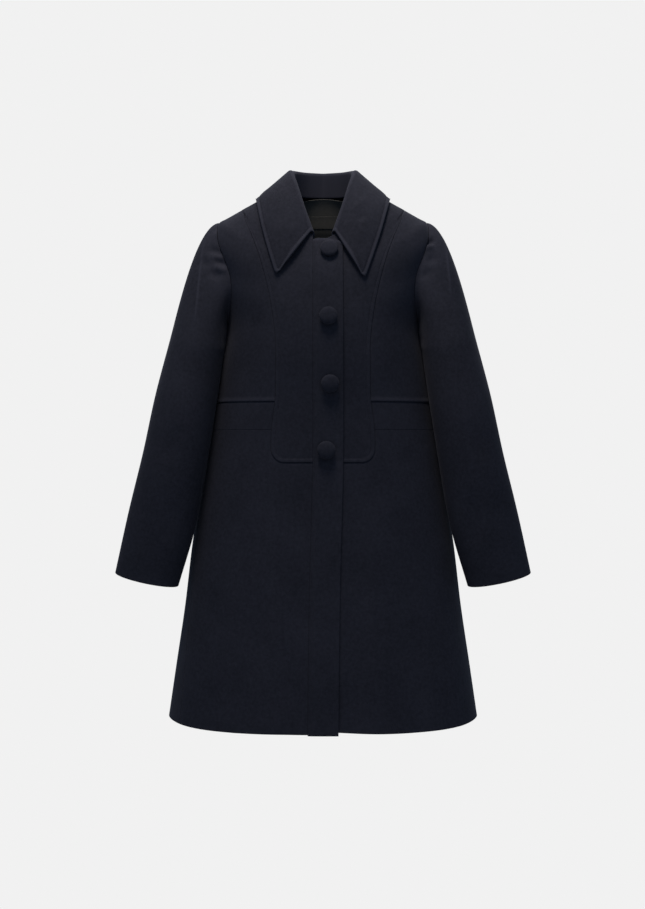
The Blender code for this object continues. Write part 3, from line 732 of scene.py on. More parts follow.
for side, hand in sides:
    corner_runs = spread_runs(CORNER_RUN, BIB_FOOT_RUN, CORNER_PITCH)
    runs = np.concatenate([spread_runs(0, CORNER_RUN), corner_runs[1:]])
    sew_panel(f"bib_{hand}", side, runs, front_edge(side, runs), bib_edge(runs, -SEAM_GAP / 2),
              edge=bib_nearest, extra=bib_rise, press=bib_press)

    runs = spread_runs(BIB_SHOULDER_RUN + SIDE_FRONT_TIP, WAISTBAND_TOP - SEAM_GAP / 2)
    sew_panel(f"side_front_{hand}", side, runs, princess_angle(runs, SEAM_GAP / 2), side_angle(runs, -1),
              edge=edge_with("far"), extra=side_front_rise, press=side_front_press)

    runs = spread_runs(WAISTBAND_TOP + SEAM_GAP / 2, WAISTBAND_FOOT - SEAM_GAP / 2)
    sew_panel(f"waistband_{hand}", side, runs, princess_angle(runs, SEAM_GAP / 2), side_angle(runs, -1),
              edge=edge_with("far"), extra=waistband_rise)

# %% [markdown]
# A skirt front wraps round the bib's corner. One grid fills the side, from waistband to hem, and a second
# fills the centre below the bib. They share a column of points, which are merged so that the cloth has no
# join.

# %% Skirt fronts
HEM_RUN = RUN_OF["hem"]
HEM_PULL = 4 * MM
HEM_PULL_WIDTH = 60 * MM
HEM_PULL_REACH = 60 * MM
FAR_AWAY = 1


def below_bib(points, edges):
    """Return the dip of the skirt where it passes under the bib's edge."""
    x, z = np.abs(points[..., 0]), points[..., 2]
    corner = np.hypot(np.maximum(x - CORNER_X, 0), np.minimum(z - CORNER_Z, 0)) - BIB_CORNER_RADIUS
    beside = np.where(z < CORNER_Z, corner, edges["near"])
    return sunk(np.maximum(beside, 0))


def drawn_hem(side, angle, run):
    """Return the runs of a skirt front whose hem is drawn up a little beneath the placket."""
    centre = np.exp(-(body_point(angle, run)[..., 0] / HEM_PULL_WIDTH) ** 2)
    low = np.clip((run - HEM_RUN) / HEM_PULL_REACH + 1, 0, 1) ** 2
    return run - (HEM_PULL * centre * low if side > 0 else 0)


def side_nearest(points, edges):
    """Return the distance to a skirt side's edges. Below the bib it has no inner edge."""
    below = points[..., 2] < CORNER_Z - BIB_CORNER_RADIUS
    near = np.where(below, FAR_AWAY, edges["near"])
    return np.minimum.reduce([near, edges["far"], edges["top"] + PRESSED_OPEN, edges["foot"]])


def centre_nearest(points, edges):
    return np.minimum.reduce([edges[name] for name in ("near", "top", "foot")])


for side, hand in sides:
    split = float(angle_of_x(CORNER_X, BIB_FOOT_RUN))
    top_runs = spread_runs(WAISTBAND_FOOT + SEAM_GAP / 2, CORNER_RUN)
    turn_runs = spread_runs(CORNER_RUN, BIB_FOOT_RUN, CORNER_PITCH)[1:]
    low_runs = spread_runs(BIB_FOOT_RUN, HEM_RUN)
    runs = np.concatenate([top_runs, turn_runs, low_runs[1:]])
    inside = np.where(runs <= BIB_FOOT_RUN, bib_edge(np.minimum(runs, BIB_FOOT_RUN), SEAM_GAP / 2), split)
    inside = np.where(np.isclose(runs, BIB_FOOT_RUN), split, inside)
    angle, run = lay_panel(side, runs, inside, side_angle(runs, -1))
    side_grid = wrap(angle, drawn_hem(side, angle, run), edge=side_nearest, extra=below_bib)
    angle, run = lay_panel(side, low_runs, front_edge(side, low_runs), np.full(low_runs.shape, split))
    centre_grid = wrap(angle, drawn_hem(side, angle, run), edge=centre_nearest, extra=below_bib)
    sew(f"skirt_front_{hand}", [side_grid, centre_grid], wool)

# %% [markdown]
# ## Back
# The back is two plain panels with a seam down the middle, from the neck to the hem. One panel cut on a
# fold would do too, but a seam lets a tailor shape the back.

# %% Back panels
for side, hand in sides:
    runs = spread_runs(0, HEM_RUN)
    centre = move_round(np.full(runs.shape, math.pi), runs, -SEAM_GAP / 2)
    sew_panel(f"back_{hand}", side, runs, side_angle(runs, 1), centre, edge=edge_with("near", "far", "top"))

# %% [markdown]
# ## Placket
# The placket is a strip sewn to the wearer's right front. It starts level at its seam, climbs over the
# cloth beneath in a few millimetres and ends in a free edge, whose shadow is the strongest line on the
# front.

# %% Placket
LAYER_GAP = 0.6 * MM
PLACKET_WIDTH = 50 * MM
PLACKET_RAMP = 7 * MM
PLACKET_TOP_Z = -49 * MM
PLACKET_CORNER_DROP = 7 * MM
PLACKET_CORNER_POWER = 3
PLACKET_BELOW_HEM = 1.5 * MM
PLACKET_PITCH = 3 * MM
PLACKET_EDGE_RISE = 0.5 * MM

across_placket = spread_steps([PLACKET_WIDTH - SEAM_GAP / 2], PLACKET_PITCH)[0] + SEAM_GAP / 2
top_z = PLACKET_TOP_Z - PLACKET_CORNER_DROP * (across_placket / PLACKET_WIDTH) ** PLACKET_CORNER_POWER
top_runs = locate(PLACKET_SEAM[0].seam_x * MM + across_placket, top_z)[1]
row_runs = spread_runs(0, HEM_RUN + PLACKET_BELOW_HEM)
squeeze = np.maximum(0, 1 - row_runs / BIB_SHOULDER_RUN)
run = row_runs[:, None] + top_runs * squeeze[:, None]
angle = placket_angle(run, np.broadcast_to(across_placket, run.shape))
ramp = np.clip(across_placket / PLACKET_RAMP, 0, 1)
placket_lift = (WALL + LAYER_GAP) * (ramp * ramp * (3 - 2 * ramp))


def placket_rise(points, edges):
    return PLACKET_EDGE_RISE * np.exp(-(edges["far"] / TOPPED_WIDTH) ** 4) - stitch_groove(edges["near"])


# Painted highlight: a paler band along the placket's top edge.
def placket_press(points, edges):
    return band(edges["top"])


grid = wrap(angle, run, placket_lift[None], extra=placket_rise, press=placket_press)
sew("placket", [grid], wool)

# %% [markdown]
# ## Sleeves
# A sleeve is a tube that leaves the armhole sideways and bends down into the arm. Rings are blended from
# the armhole to the upper arm, then follow a table down to the cuff. The eased cloth at the sleeve head
# makes small puckers, which are listed one by one, as is the sharp pressed ridge down the front of each
# sleeve. A soft fold fills the armpit, where the two cloths lie together.

# %% Sleeve tube
SleeveSection = namedtuple("SleeveSection", "name centre_x centre_y centre_z half_width half_depth")
SLEEVE_SECTIONS = [
    SleeveSection("bicep", 211.5, -31, -222, 46.5, 59),
    SleeveSection("upper elbow", 230.2, -44, -318, 51.8, 54),
    SleeveSection("elbow", 247.6, -49, -413, 54.4, 49),
    SleeveSection("forearm", 269, -51, -515, 57.5, 42),
    SleeveSection("cuff", 294.5, -54, -616, 54, 34),
]
SLEEVE_TILT = math.radians(12)
SLEEVE_PITCH = math.radians(9)
SLEEVE_SEAT = 0.45 * MM
CAP_REACH = 110 * MM
CAP_LIFT = -0.05
UNDERARM_REACH = 16 * MM
CAP_DROP = 150 * MM
UNDERARM_DROP = 40 * MM
HALF_COLUMNS = 112
CAP_RINGS = 44
CAP_LENGTH = 95 * MM
CAP_EDGE_ROWS = 8
CAP_FIRST_SHARE = 0.06


def sleeve_tube():
    """Return rings of points from armhole to cuff, each from the shoulder down the front and up the back."""
    turn = np.linspace(0, math.pi, HALF_COLUMNS + 1)
    runs = RUN_OF["shoulder tip"] + (RUN_OF["armpit"] - RUN_OF["shoulder tip"]) * (1 - np.cos(turn)) / 2
    front = body_point(QUARTER - armhole_spread(runs), runs)
    back = body_point(QUARTER + armhole_spread(runs), runs)
    loop = np.concatenate([front, back[-2:0:-1]])
    steps = np.linalg.norm(np.roll(loop, -1, axis=0) - loop, axis=1)
    down = np.cumsum(steps[:HALF_COLUMNS])
    up = np.cumsum(steps[HALF_COLUMNS:])
    turns = np.concatenate([[0], down / down[-1], 1 + up[:-1] / up[-1]]) * math.pi
    heights = [-s.centre_z * MM for s in SLEEVE_SECTIONS]
    ring_at = smooth_curve(heights, [[v * MM for v in s[1:]] for s in SLEEVE_SECTIONS])
    outward = np.array((math.cos(SLEEVE_TILT), 0, math.sin(SLEEVE_TILT)))
    forward = np.array((0, -math.cos(SLEEVE_PITCH), -math.sin(SLEEVE_PITCH)))

    def ring(height):
        values = ring_at(height)
        across = np.cos(turns)[:, None] * values[3] * outward
        return values[:3] + across + np.sin(turns)[:, None] * values[4] * forward

    bicep = ring(heights[0])
    arm_way = unit(ring(heights[0] + NUDGE) - bicep)
    high = (1 + np.cos(turns)[:, None]) / 2
    leave = unit(np.array((1, 0, 0)) + high * np.array((0, 0, CAP_LIFT)))
    start = loop + SLEEVE_SEAT * leave
    leave = leave * (UNDERARM_REACH + (CAP_REACH - UNDERARM_REACH) * high)
    arrive = arm_way[0] * (UNDERARM_DROP + (CAP_DROP - UNDERARM_DROP) * high)
    rings = []
    cap_steps = np.concatenate([EDGE_STEPS[:CAP_EDGE_ROWS] / CAP_LENGTH,
                                np.linspace(CAP_FIRST_SHARE, 1, CAP_RINGS + 1)[:-1]])
    for s in cap_steps:
        keep = (1 + 2 * s) * (1 - s) ** 2
        rings.append(start * keep + bicep * (1 - keep) + leave * s * (1 - s) ** 2 + arrive * s * s * (s - 1))
    arm = spread_runs(heights[0], heights[-1])
    arm = arm[len(EDGE_STEPS) - 1:]
    rings += [ring(height) for height in np.concatenate([[heights[0]], arm])]
    return np.array(rings)


def tube_normals(tube):
    around = np.roll(tube, -1, axis=1) - np.roll(tube, 1, axis=1)
    return unit(np.cross(around, np.gradient(tube, axis=0)))


tube = sleeve_tube()
print("sleeve rings and columns:", tube.shape[:2])

# %% [markdown]
# The tube is creased as a whole, and then cut along its two seams into the top and the under sleeve. Both
# come from the same rings, so that they meet without a step.

# %% Puckers and creases of the sleeves
SLEEVE_CREASES = {
    "right": [
        Crease(-201, -40, -214, -205, 2.0, 1.7),
        Crease(-194, -60, -168, -71, 7, -4.4),
        Crease(-184, -80, -160, -91, 6, -4.0),
        Crease(-206, -80, -188, -94, 7, -2.8),
        Crease(-194, -100, -170, -113, 7, -3.2),
        Crease(-184, -32, -168, -48, 7, 2.6),
        Crease(-182, -92, -160, -103, 5, 3.2),
        Crease(-190, -72, -168, -81, 5, 2.4),
        Crease(-236, -360, -262, -420, 13, -1.4),
        Crease(-270, -380, -284, -500, 14, 1.2),
        Crease(-238, -470, -258, -560, 14, -1.2),
    ],
    "left": [
        Crease(206, -40, 214, -150, 2.0, 1.6),
        Crease(190, -46, 166, -54, 5, -5.0),
        Crease(188, -56, 166, -63, 5, 3.2),
        Crease(194, -74, 172, -87, 7, -2.4),
        Crease(186, -98, 162, -113, 7, -2.2),
        Crease(234, -350, 262, -425, 13, -1.3),
        Crease(268, -385, 286, -500, 14, 1.2),
        Crease(240, -465, 260, -560, 14, -1.2),
    ],
}
SLEEVE_BACK_CREASES = [
    Crease(214, -240, 246, -300, 13, -1.6),
    Crease(232, -330, 262, -390, 14, -1.8),
    Crease(262, -420, 284, -560, 15, 1.4),
    Crease(186, -60, 194, -100, 9, -1.2),
]
UnderarmFold = namedtuple("UnderarmFold", "y z depth height rise")
UNDERARM_FOLD = UnderarmFold(-24, -202, 20, 16, 4.4)
UNDERARM_TURN = 2
SEAM_COLUMNS = (HALF_COLUMNS * 7 // 8, HALF_COLUMNS * 11 // 8)


def draw_in(grid, distance):
    """Draw the first and last column of a grid of points in towards their neighbours."""
    for edge, near in ((0, 1), (-1, -2)):
        grid[:, edge] += distance * unit(grid[:, near] - grid[:, edge])
    return grid


for side, hand in sides:
    hung = tube * np.array((side, 1, 1))
    normals = tube_normals(tube) * np.array((side, 1, 1))
    back_creases = [Crease(side * c.x0, c.z0, side * c.x1, *c[3:]) for c in SLEEVE_BACK_CREASES]
    rise = crease_height(hung, SLEEVE_CREASES[hand], -CREASE_TURN * normals[..., 1])
    rise += crease_height(hung, back_creases, CREASE_TURN * normals[..., 1])
    along = path_lengths(hung, 0)
    rim = np.minimum(along + PRESSED_OPEN, along[-1:] - along)
    # Painted light: a painted highlight along the pressed ridge, and painted light that lifts the shade by
    # the armhole.
    ridge = crease_height(hung, SLEEVE_CREASES[hand][:1], -CREASE_TURN * normals[..., 1])
    pressed = ridge / ridge.max() + ARMHOLE_PAINTED_LIGHT * np.exp(-(along / ARMHOLE_REACH) ** 2)
    off_fold = np.hypot((hung[..., 1] - UNDERARM_FOLD.y * MM) / UNDERARM_FOLD.depth,
                        (hung[..., 2] - UNDERARM_FOLD.z * MM) / UNDERARM_FOLD.height) / MM
    facing_in = np.clip(-UNDERARM_TURN * side * normals[..., 0], 0, 1)
    rise += UNDERARM_FOLD.rise * MM * np.exp(-off_fold ** 2) * facing_in
    front_seam, back_seam = SEAM_COLUMNS
    spans = {"top": np.arange(back_seam, hung.shape[1] + front_seam + 1),
             "under": np.arange(front_seam, back_seam + 1)}
    for layer, span in spans.items():
        columns = span % hung.shape[1]
        points, out = hung[:, columns], normals[:, columns]
        across = path_lengths(points, 1)
        seams = np.minimum(across, across[:, -1:] - across) + PRESSED_OPEN
        drawn = round_edge(np.minimum(rim[:, columns], seams), WALL)
        lift = rise[:, columns]
        outer = draw_in(points + (lift - drawn)[..., None] * out, SEAM_GAP / 2)
        inner = draw_in(points + (lift - WALL + drawn)[..., None] * out, SEAM_GAP / 2)
        sew(f"sleeve_{layer}_{hand}", [(outer, inner, pressed[:, columns])], wool)

# %% [markdown]
# ## Collar
# The collar is one band. It rises inside the neck, leans back a little there, rolls over its fold and
# falls to the points. Its edge is turned and stitched, which gives the ridge, made pale partly by painted
# highlight, and the fine dark line that follow the outline. At the shoulders the edge dips, so that it lies
# on the body.

# %% Collar sections
FoldPoint = namedtuple("FoldPoint", "angle x y z")
COLLAR_FOLD = [
    FoldPoint(14, 17, -69.8, -36),
    FoldPoint(40, 31, -52, 7),
    FoldPoint(65, 43, -27, 47),
    FoldPoint(90, 51, 0, 72),
    FoldPoint(120, 49, 36, 80),
    FoldPoint(150, 29, 62, 81.5),
    FoldPoint(180, 0, 72, 81.5),
]
COLLAR_WALL = 3.0 * MM
COLLAR_ROLL = 6.4 * MM
COLLAR_STAND_OVERLAP = 7 * MM
COLLAR_STAND_GAP = 1.9 * MM
CollarPoint = namedtuple("CollarPoint", "side x z")
COLLAR_POINTS = [CollarPoint(-1, 78, -113), CollarPoint(1, 69, -119)]
COLLAR_POINT_ROUND = 11 * MM
COLLAR_EDGE_BOW = 3 * MM
COLLAR_SHOULDER_X = 111.5 * MM
COLLAR_BACK_Z = 6 * MM
COLLAR_BULGE = -0.6 * MM
COLLAR_FRONT_BULGE = 9.6 * MM
COLLAR_BACK_BULGE = 4.5 * MM
COLLAR_BULGE_SPAN = 45
COLLAR_SEAT = 0.5 * MM
COLLAR_SHOULDER_LIFT = 4.6 * MM
COLLAR_SHOULDER_SPAN = 35
STAND_LEAN_FROM = 95
STAND_FOOT_IN = 4 * MM
STAND_FOLD_OUT = 6 * MM
OUTLINE_STEPS = 60
ARC_STEPS = 18
STAND_SHARES = [0, 0.005, 0.016, 0.035, 0.1, 0.3, 0.55, 0.8]
STAND_STEPS = len(STAND_SHARES)
FALL_PITCH = 3 * MM
fold_curve = smooth_curve([p.angle for p in COLLAR_FOLD], [[v * MM for v in p[1:]] for p in COLLAR_FOLD])


def collar_foot(degrees):
    """Return the foot of the stand, just inside the neck edge and a little below it."""
    angle = np.radians(degrees)
    start = np.zeros(angle.shape)
    edge = body_point(angle, start)
    inward = unit(edge * np.array((-1, -1, 0)))
    level = np.linalg.norm(body_normal(angle, start)[..., :2], axis=-1)
    reach = WALL * level + COLLAR_STAND_GAP + COLLAR_WALL
    return edge + reach[..., None] * inward - np.array((0, 0, COLLAR_STAND_OVERLAP))


def collar_outline(point):
    """Return the outer edge as it shows from the front: round the point, then up to the shoulder."""
    tip = np.array((point.x, point.z)) * MM
    neck = np.array((COLLAR_FOLD[0].x, COLLAR_FOLD[0].z)) * MM
    shoulder = np.array((COLLAR_SHOULDER_X, section_at(run_of_shoulder(COLLAR_SHOULDER_X))[1]))
    front = tip + COLLAR_POINT_ROUND * unit(neck - tip)
    outer = tip + COLLAR_POINT_ROUND * unit(shoulder - tip)
    share = np.linspace(0, 1, OUTLINE_STEPS + 1)[:, None]
    turn = front * (1 - share) ** 2 + tip * 2 * share * (1 - share) + outer * share ** 2
    climb = outer + (shoulder - outer) * share + np.array((COLLAR_EDGE_BOW, 0)) * np.sin(math.pi * share)
    path = np.concatenate([turn, climb[1:]])
    length = path_lengths(path, 0)
    return length / length[-1], path


def collar_edge(degrees, outline):
    """Return the outer edge: round the point and up to the shoulder, then round the back."""
    first = COLLAR_FOLD[0].angle
    shoulder_run = run_of_shoulder(COLLAR_SHOULDER_X)
    share = np.clip((degrees - first) / (90 - first), 0, 1)
    marks, path = outline
    front_angle, front_run = locate(np.interp(share, marks, path[:, 0]), np.interp(share, marks, path[:, 1]))
    back_angle = np.radians(degrees)
    ease = np.sin(back_angle - QUARTER) ** 2
    back_run = shoulder_run + (run_of_back(COLLAR_BACK_Z) - shoulder_run) * ease
    angle = np.where(degrees < 90, front_angle, back_angle)
    run = np.where(degrees < 90, front_run, back_run)
    lift = COLLAR_SHOULDER_LIFT * np.exp(-((degrees - 90) / COLLAR_SHOULDER_SPAN) ** 2)
    return body_point(angle, run) + (COLLAR_SEAT + lift + COLLAR_WALL)[:, None] * body_normal(angle, run)


def dot(a, b):
    return np.sum(a * b, axis=-1, keepdims=True)


def collar_half(degrees, point):
    """Return sections from the foot of the stand, round the roll and down to the edge, one for each angle."""
    foot, fold = collar_foot(degrees), fold_curve(degrees)
    lean = np.clip((degrees - STAND_LEAN_FROM) / (180 - STAND_LEAN_FROM), 0, 1)[:, None]
    outward = unit(fold * np.array((1, 1, 0)))
    foot = foot - STAND_FOOT_IN * lean * outward
    fold = fold + STAND_FOLD_OUT * lean * outward
    edge = collar_edge(degrees, collar_outline(point))
    up = -unit(unit(foot - fold) + unit(edge - fold))
    out = unit((edge - fold) - dot(edge - fold, up) * up)
    centre = fold - COLLAR_ROLL * up

    def tangent_turn(point, hand):
        reach = point - centre
        distance = np.linalg.norm(reach, axis=-1, keepdims=True)
        return np.arctan2(dot(reach, up), dot(reach, out)) + hand * np.arccos(COLLAR_ROLL / distance)

    edge_turn = tangent_turn(edge, 1)
    foot_turn = tangent_turn(foot, -1) % (2 * math.pi)
    points = []
    for share in np.linspace(0, 1, ARC_STEPS + 1):
        turn = foot_turn + (edge_turn - foot_turn) * share
        points.append(centre + COLLAR_ROLL * (np.cos(turn) * out + np.sin(turn) * up))
    stand = [foot + (points[0] - foot) * share for share in STAND_SHARES]
    frontness = np.clip((90 - degrees) / COLLAR_BULGE_SPAN, 0, 1)[:, None]
    backness = np.clip((degrees - 90) / COLLAR_BULGE_SPAN, 0, 1)[:, None]
    swell = np.cos(edge_turn) * out + np.sin(edge_turn) * up
    swell = unit(swell * (1 - frontness) + np.array((0, -1, 0)) * frontness)
    bulge = (COLLAR_BULGE + COLLAR_FRONT_BULGE * frontness + COLLAR_BACK_BULGE * backness) * swell
    lengths = np.linalg.norm(edge - points[-1], axis=-1)
    shares = spread_steps(lengths, FALL_PITCH) / lengths[:, None]
    shares = shares[:, len(EDGE_STEPS):]
    fall = [points[-1] + (edge - points[-1]) * s + bulge * np.sin(math.pi * s) for s in shares.T[..., None]]
    return np.stack(stand + points + fall, axis=1)


# %% [markdown]
# The two halves are joined at the back into one grid. The ridge, the groove and the dip then follow the
# distance from its edge, so that they run round the points without a break.

# %% Collar
COLLAR_COLUMNS = 110
COLLAR_STITCH_IN = 7.6 * MM
COLLAR_RIDGE_IN = 2.8 * MM
COLLAR_RIDGE = 1.3 * MM
COLLAR_RIDGE_WIDTH = 3.4 * MM
COLLAR_GROOVE = 0.8 * MM
COLLAR_GROOVE_WIDTH = 1.1 * MM
SHOULDER_DEGREES = 92
COLLAR_DIP = 3.0 * MM
COLLAR_DIP_SPAN = 16
COLLAR_DIP_REACH = 14 * MM
# Painted light that lifts the shade on the stand inside the neck:
STAND_PAINTED_LIGHT = 1.1
FRONT_EDGE_LENGTH = 95 * MM
FRONT_EDGE_TURN = 45
FALL_REACH = 8 * MM
COLLAR_CREASE_TURN = 2
COLLAR_CREASES = [
    Crease(44, -4, 74, 24, 4.5, 1.4),
    Crease(56, -8, 70, -16, 6, -1.8),
    Crease(-60, 4, -84, -30, 8, -1.0),
    Crease(-44, -20, -60, -52, 7, 0.8),
    Crease(70, -40, 62, -78, 8, -0.8),
]
first = COLLAR_FOLD[0].angle
span = 180 - first
near_front = EDGE_STEPS / FRONT_EDGE_LENGTH * FRONT_EDGE_TURN
degrees = first + np.concatenate([near_front, np.linspace(near_front[-1], span, COLLAR_COLUMNS + 1)[1:]])
right, left = [collar_half(degrees, point) * np.array((point.side, 1, 1)) for point in COLLAR_POINTS]
collar_points = np.concatenate([right, left[-2::-1]])
collar_normals = unit(np.cross(np.gradient(collar_points, axis=0), np.gradient(collar_points, axis=1)))
along = path_lengths(collar_points, 1)
to_edge = along[:, -1:] - along
round_front = path_lengths(collar_points, 0)
to_front = np.minimum(round_front, round_front[-1:] - round_front)
nearest = np.minimum(to_edge, to_front)
on_fall = np.clip((along - along[:, [STAND_STEPS + ARC_STEPS // 2]]) / FALL_REACH, 0, 1)
band_share = np.exp(-((nearest - COLLAR_RIDGE_IN) / COLLAR_RIDGE_WIDTH) ** 2) * on_fall
groove = COLLAR_GROOVE * np.exp(-((nearest - COLLAR_STITCH_IN) / COLLAR_GROOVE_WIDTH) ** 2) * on_fall
turn_degrees = np.concatenate([degrees, degrees[-2::-1]])[:, None]
at_shoulder = np.exp(-((turn_degrees - SHOULDER_DEGREES) / COLLAR_DIP_SPAN) ** 2)
dip = COLLAR_DIP * at_shoulder * np.exp(-(to_edge / COLLAR_DIP_REACH) ** 2)
rise = COLLAR_RIDGE * band_share * (1 - at_shoulder) - groove - dip
rise += crease_height(collar_points, COLLAR_CREASES, -COLLAR_CREASE_TURN * collar_normals[..., 1]) * on_fall
drawn = round_edge(np.minimum(nearest, along), COLLAR_WALL)
collar_outer = collar_points + (rise - drawn)[..., None] * collar_normals
inner = collar_points + (drawn - COLLAR_WALL)[..., None] * collar_normals
# Painted light: a painted highlight on the band by the edge, and painted light that lifts the shade on the
# stand.
stand_painted_light = STAND_PAINTED_LIGHT * (1 - on_fall)
sew("collar", [(collar_outer, inner, band_share + stand_painted_light)], wool)

# %% [markdown]
# ## Facing and label
# Inside the back neck a smooth facing covers the shoulders of the back, and a small woven label is sewn
# to it. The facing is eased forward until it lies flush with the collar's stand. The label is bare.

# %% Back neck
FACING_WALL = 1.2 * MM
FACING_GAP = 1.6 * MM
FACING_EASE = 8.2 * MM
FACING_HALF_ANGLE = math.radians(46.5)
FACING_TOP = 8 * MM
FACING_FOOT = 154.9 * MM
LABEL_WALL = 0.5 * MM
LABEL_GAP = 0.15 * MM
LABEL_HALF_ANGLE = math.radians(14)
LABEL_TOP_Z = 9 * MM
LABEL_FOOT_Z = -12 * MM


def inside_back(name, runs, half_angle, depth, wall, material, slot):
    ends = np.full(runs.shape, half_angle)
    angle, run = lay_panel(1, runs, math.pi - ends, math.pi + ends)
    sew(name, [wrap(angle, run, -depth, wall)], material, slot)


facing_depth = WALL + FACING_GAP + FACING_EASE
inside_back("back_neck_facing", spread_runs(FACING_TOP, FACING_FOOT), FACING_HALF_ANGLE, facing_depth,
            FACING_WALL, facing_cloth, "facing_cloth")
label_runs = spread_runs(float(run_of_back(LABEL_TOP_Z)), float(run_of_back(LABEL_FOOT_Z)))
inside_back("neck_label", label_runs, LABEL_HALF_ANGLE, facing_depth + FACING_WALL + LABEL_GAP,
            LABEL_WALL, label_cloth, "label_cloth")

# %% [markdown]
# ## Covered buttons
# A covered button is a shallow dome with the wool drawn round its rim and gathered behind. The outline of
# half of it is spun about its axis, which is how it would be turned from wood too.

# %% Buttons
BUTTON_DIAMETER = 30 * MM
BUTTON_HEIGHT = 9.5 * MM
BUTTON_RIM_HEIGHT = 4.5 * MM
BUTTON_SHANK_RADIUS = 4.5 * MM
BUTTON_SHANK_HEIGHT = 2.2 * MM
BUTTON_TURNS = 56
DOME_POWER = 0.8
DOME_STEPS = 15
RIM_TUCK = 0.22
RIM_STEPS = 7
ButtonPlace = namedtuple("ButtonPlace", "x z")
BUTTON_PLACES = [ButtonPlace(10.3, -69), ButtonPlace(8.6, -181),
                 ButtonPlace(11.4, -291.5), ButtonPlace(5.2, -401)]


def make_button(number, place):
    angle, run = locate(place.x * MM, place.z * MM)
    normal = body_normal(angle, run)
    seat = body_point(angle, run) + (WALL + LAYER_GAP + SEAM_GAP) * normal
    radius = BUTTON_DIAMETER / 2
    rise = BUTTON_HEIGHT - BUTTON_RIM_HEIGHT
    dome = [(radius * math.sin(t), BUTTON_RIM_HEIGHT + rise * math.cos(t) ** DOME_POWER)
            for t in np.linspace(0, QUARTER, DOME_STEPS)]
    drop = BUTTON_RIM_HEIGHT - BUTTON_SHANK_HEIGHT
    under = [(radius * (1 - RIM_TUCK * math.sin(t) ** 2), BUTTON_RIM_HEIGHT - drop * math.sin(t))
             for t in np.linspace(0, QUARTER, RIM_STEPS)[1:]]
    shank = [(BUTTON_SHANK_RADIUS, BUTTON_SHANK_HEIGHT), (BUTTON_SHANK_RADIUS, 0), (0, 0)]
    bm = bmesh.new()
    verts = [bm.verts.new((x, 0, z)) for x, z in dome + under + shank]
    edges = [bm.edges.new(pair) for pair in zip(verts, verts[1:])]
    bmesh.ops.spin(bm, geom=verts + edges, cent=(0, 0, 0), axis=(0, 0, 1), angle=2 * math.pi,
                   steps=BUTTON_TURNS, use_merge=True)
    bmesh.ops.remove_doubles(bm, verts=bm.verts[:], dist=MERGE_DISTANCE)
    upright = Vector(normal).to_track_quat("Z", "Y").to_matrix().to_4x4()
    bmesh.ops.transform(bm, matrix=Matrix.Translation(Vector(seat)) @ upright, verts=bm.verts[:])
    bmesh.ops.recalc_face_normals(bm, faces=bm.faces[:])
    name = f"button_{number}"
    finish_piece(name, bm, wool, "navy_wool", name)


for number, place in enumerate(BUTTON_PLACES, start=1):
    make_button(number, place)

# %% [markdown]
# ## Stitches
# The collar, the bib and the placket are stitched by machine close to their edges. Each stitch is a small
# capsule of thread that lies in the groove it pulls. The rows are found on the same form as the panels. A
# painted line would be lighter, but it would not catch the light as thread does.

# %% Rows of stitches
STITCH_PITCH = 3.6 * MM
STITCH_LENGTH = 2.7 * MM
STITCH_RADIUS = 0.3 * MM
STITCH_SIDES = 6
STITCH_RINGS = 4
ROW_STEPS = 240
CORNER_ROW_STEPS = 30
FOOT_ROW_STEPS = 60
BIB_ROW_START = 2 * STITCH_IN
BIB_ROW_ENDS = {-1: 18 * MM, 1: 36 * MM}


def form_row(angle, run, lift):
    """Return a row of points on the creased form, lifted by a height."""
    points, normals = body_point(angle, run), body_normal(angle, run)
    return points + (lift + body_creases(points, normals))[..., None] * normals


def bib_row(side):
    """Return the bib's row: down the princess seam, round the corner and along the foot."""
    down = np.linspace(BIB_SHOULDER_RUN + BIB_ROW_START, CORNER_RUN, ROW_STEPS)
    radius = BIB_CORNER_RADIUS - STITCH_IN
    turn = np.linspace(0, QUARTER, CORNER_ROW_STEPS)
    corner = locate(CORNER_X + radius * np.cos(turn), CORNER_Z - radius * np.sin(turn))
    foot = locate(np.linspace(CORNER_X, BIB_ROW_ENDS[side], FOOT_ROW_STEPS), CORNER_Z - radius)
    angle = np.concatenate([princess_angle(down, -STITCH_IN), corner[0][1:], foot[0][1:]])
    run = np.concatenate([down, corner[1][1:], foot[1][1:]])
    return form_row(side * angle, run, float(topped(STITCH_IN)))


def placket_row():
    run = np.linspace(RUN_OF["mid shoulder"], HEM_RUN - STITCH_IN, ROW_STEPS)
    lift = float(np.interp(STITCH_IN, across_placket, placket_lift)) - STITCH_GROOVE
    return form_row(placket_angle(run, STITCH_IN), run, lift)


def collar_row(grid, edge_gap, front_gap):
    """Return one half of the collar's row: down the front edge to the point, then round to the back."""
    row = []

    def at_stitch(gaps, values):
        return np.interp(COLLAR_STITCH_IN, gaps, values)

    def add_places(gap_lines, other_lines, point_lines):
        for gaps, others, points in zip(gap_lines, other_lines, point_lines):
            if at_stitch(gaps, others) > COLLAR_STITCH_IN:
                row.append([at_stitch(gaps, points[:, k]) for k in range(3)])

    falling = slice(STAND_STEPS + ARC_STEPS, None)
    add_places(front_gap.T[falling], edge_gap.T[falling], grid.swapaxes(0, 1)[falling])
    add_places(edge_gap[:, ::-1], front_gap[:, ::-1], grid[:, ::-1])
    return np.array(row)


def make_stitch():
    """Return one stitch that lies along X, as a mesh to copy."""
    bm = bmesh.new()
    bmesh.ops.create_uvsphere(bm, u_segments=STITCH_SIDES, v_segments=STITCH_RINGS, radius=1)
    bmesh.ops.scale(bm, vec=(STITCH_LENGTH / 2, STITCH_RADIUS, STITCH_RADIUS), verts=bm.verts[:])
    stitch = bpy.data.meshes.new("stitch")
    bm.to_mesh(stitch)
    bm.free()
    return stitch


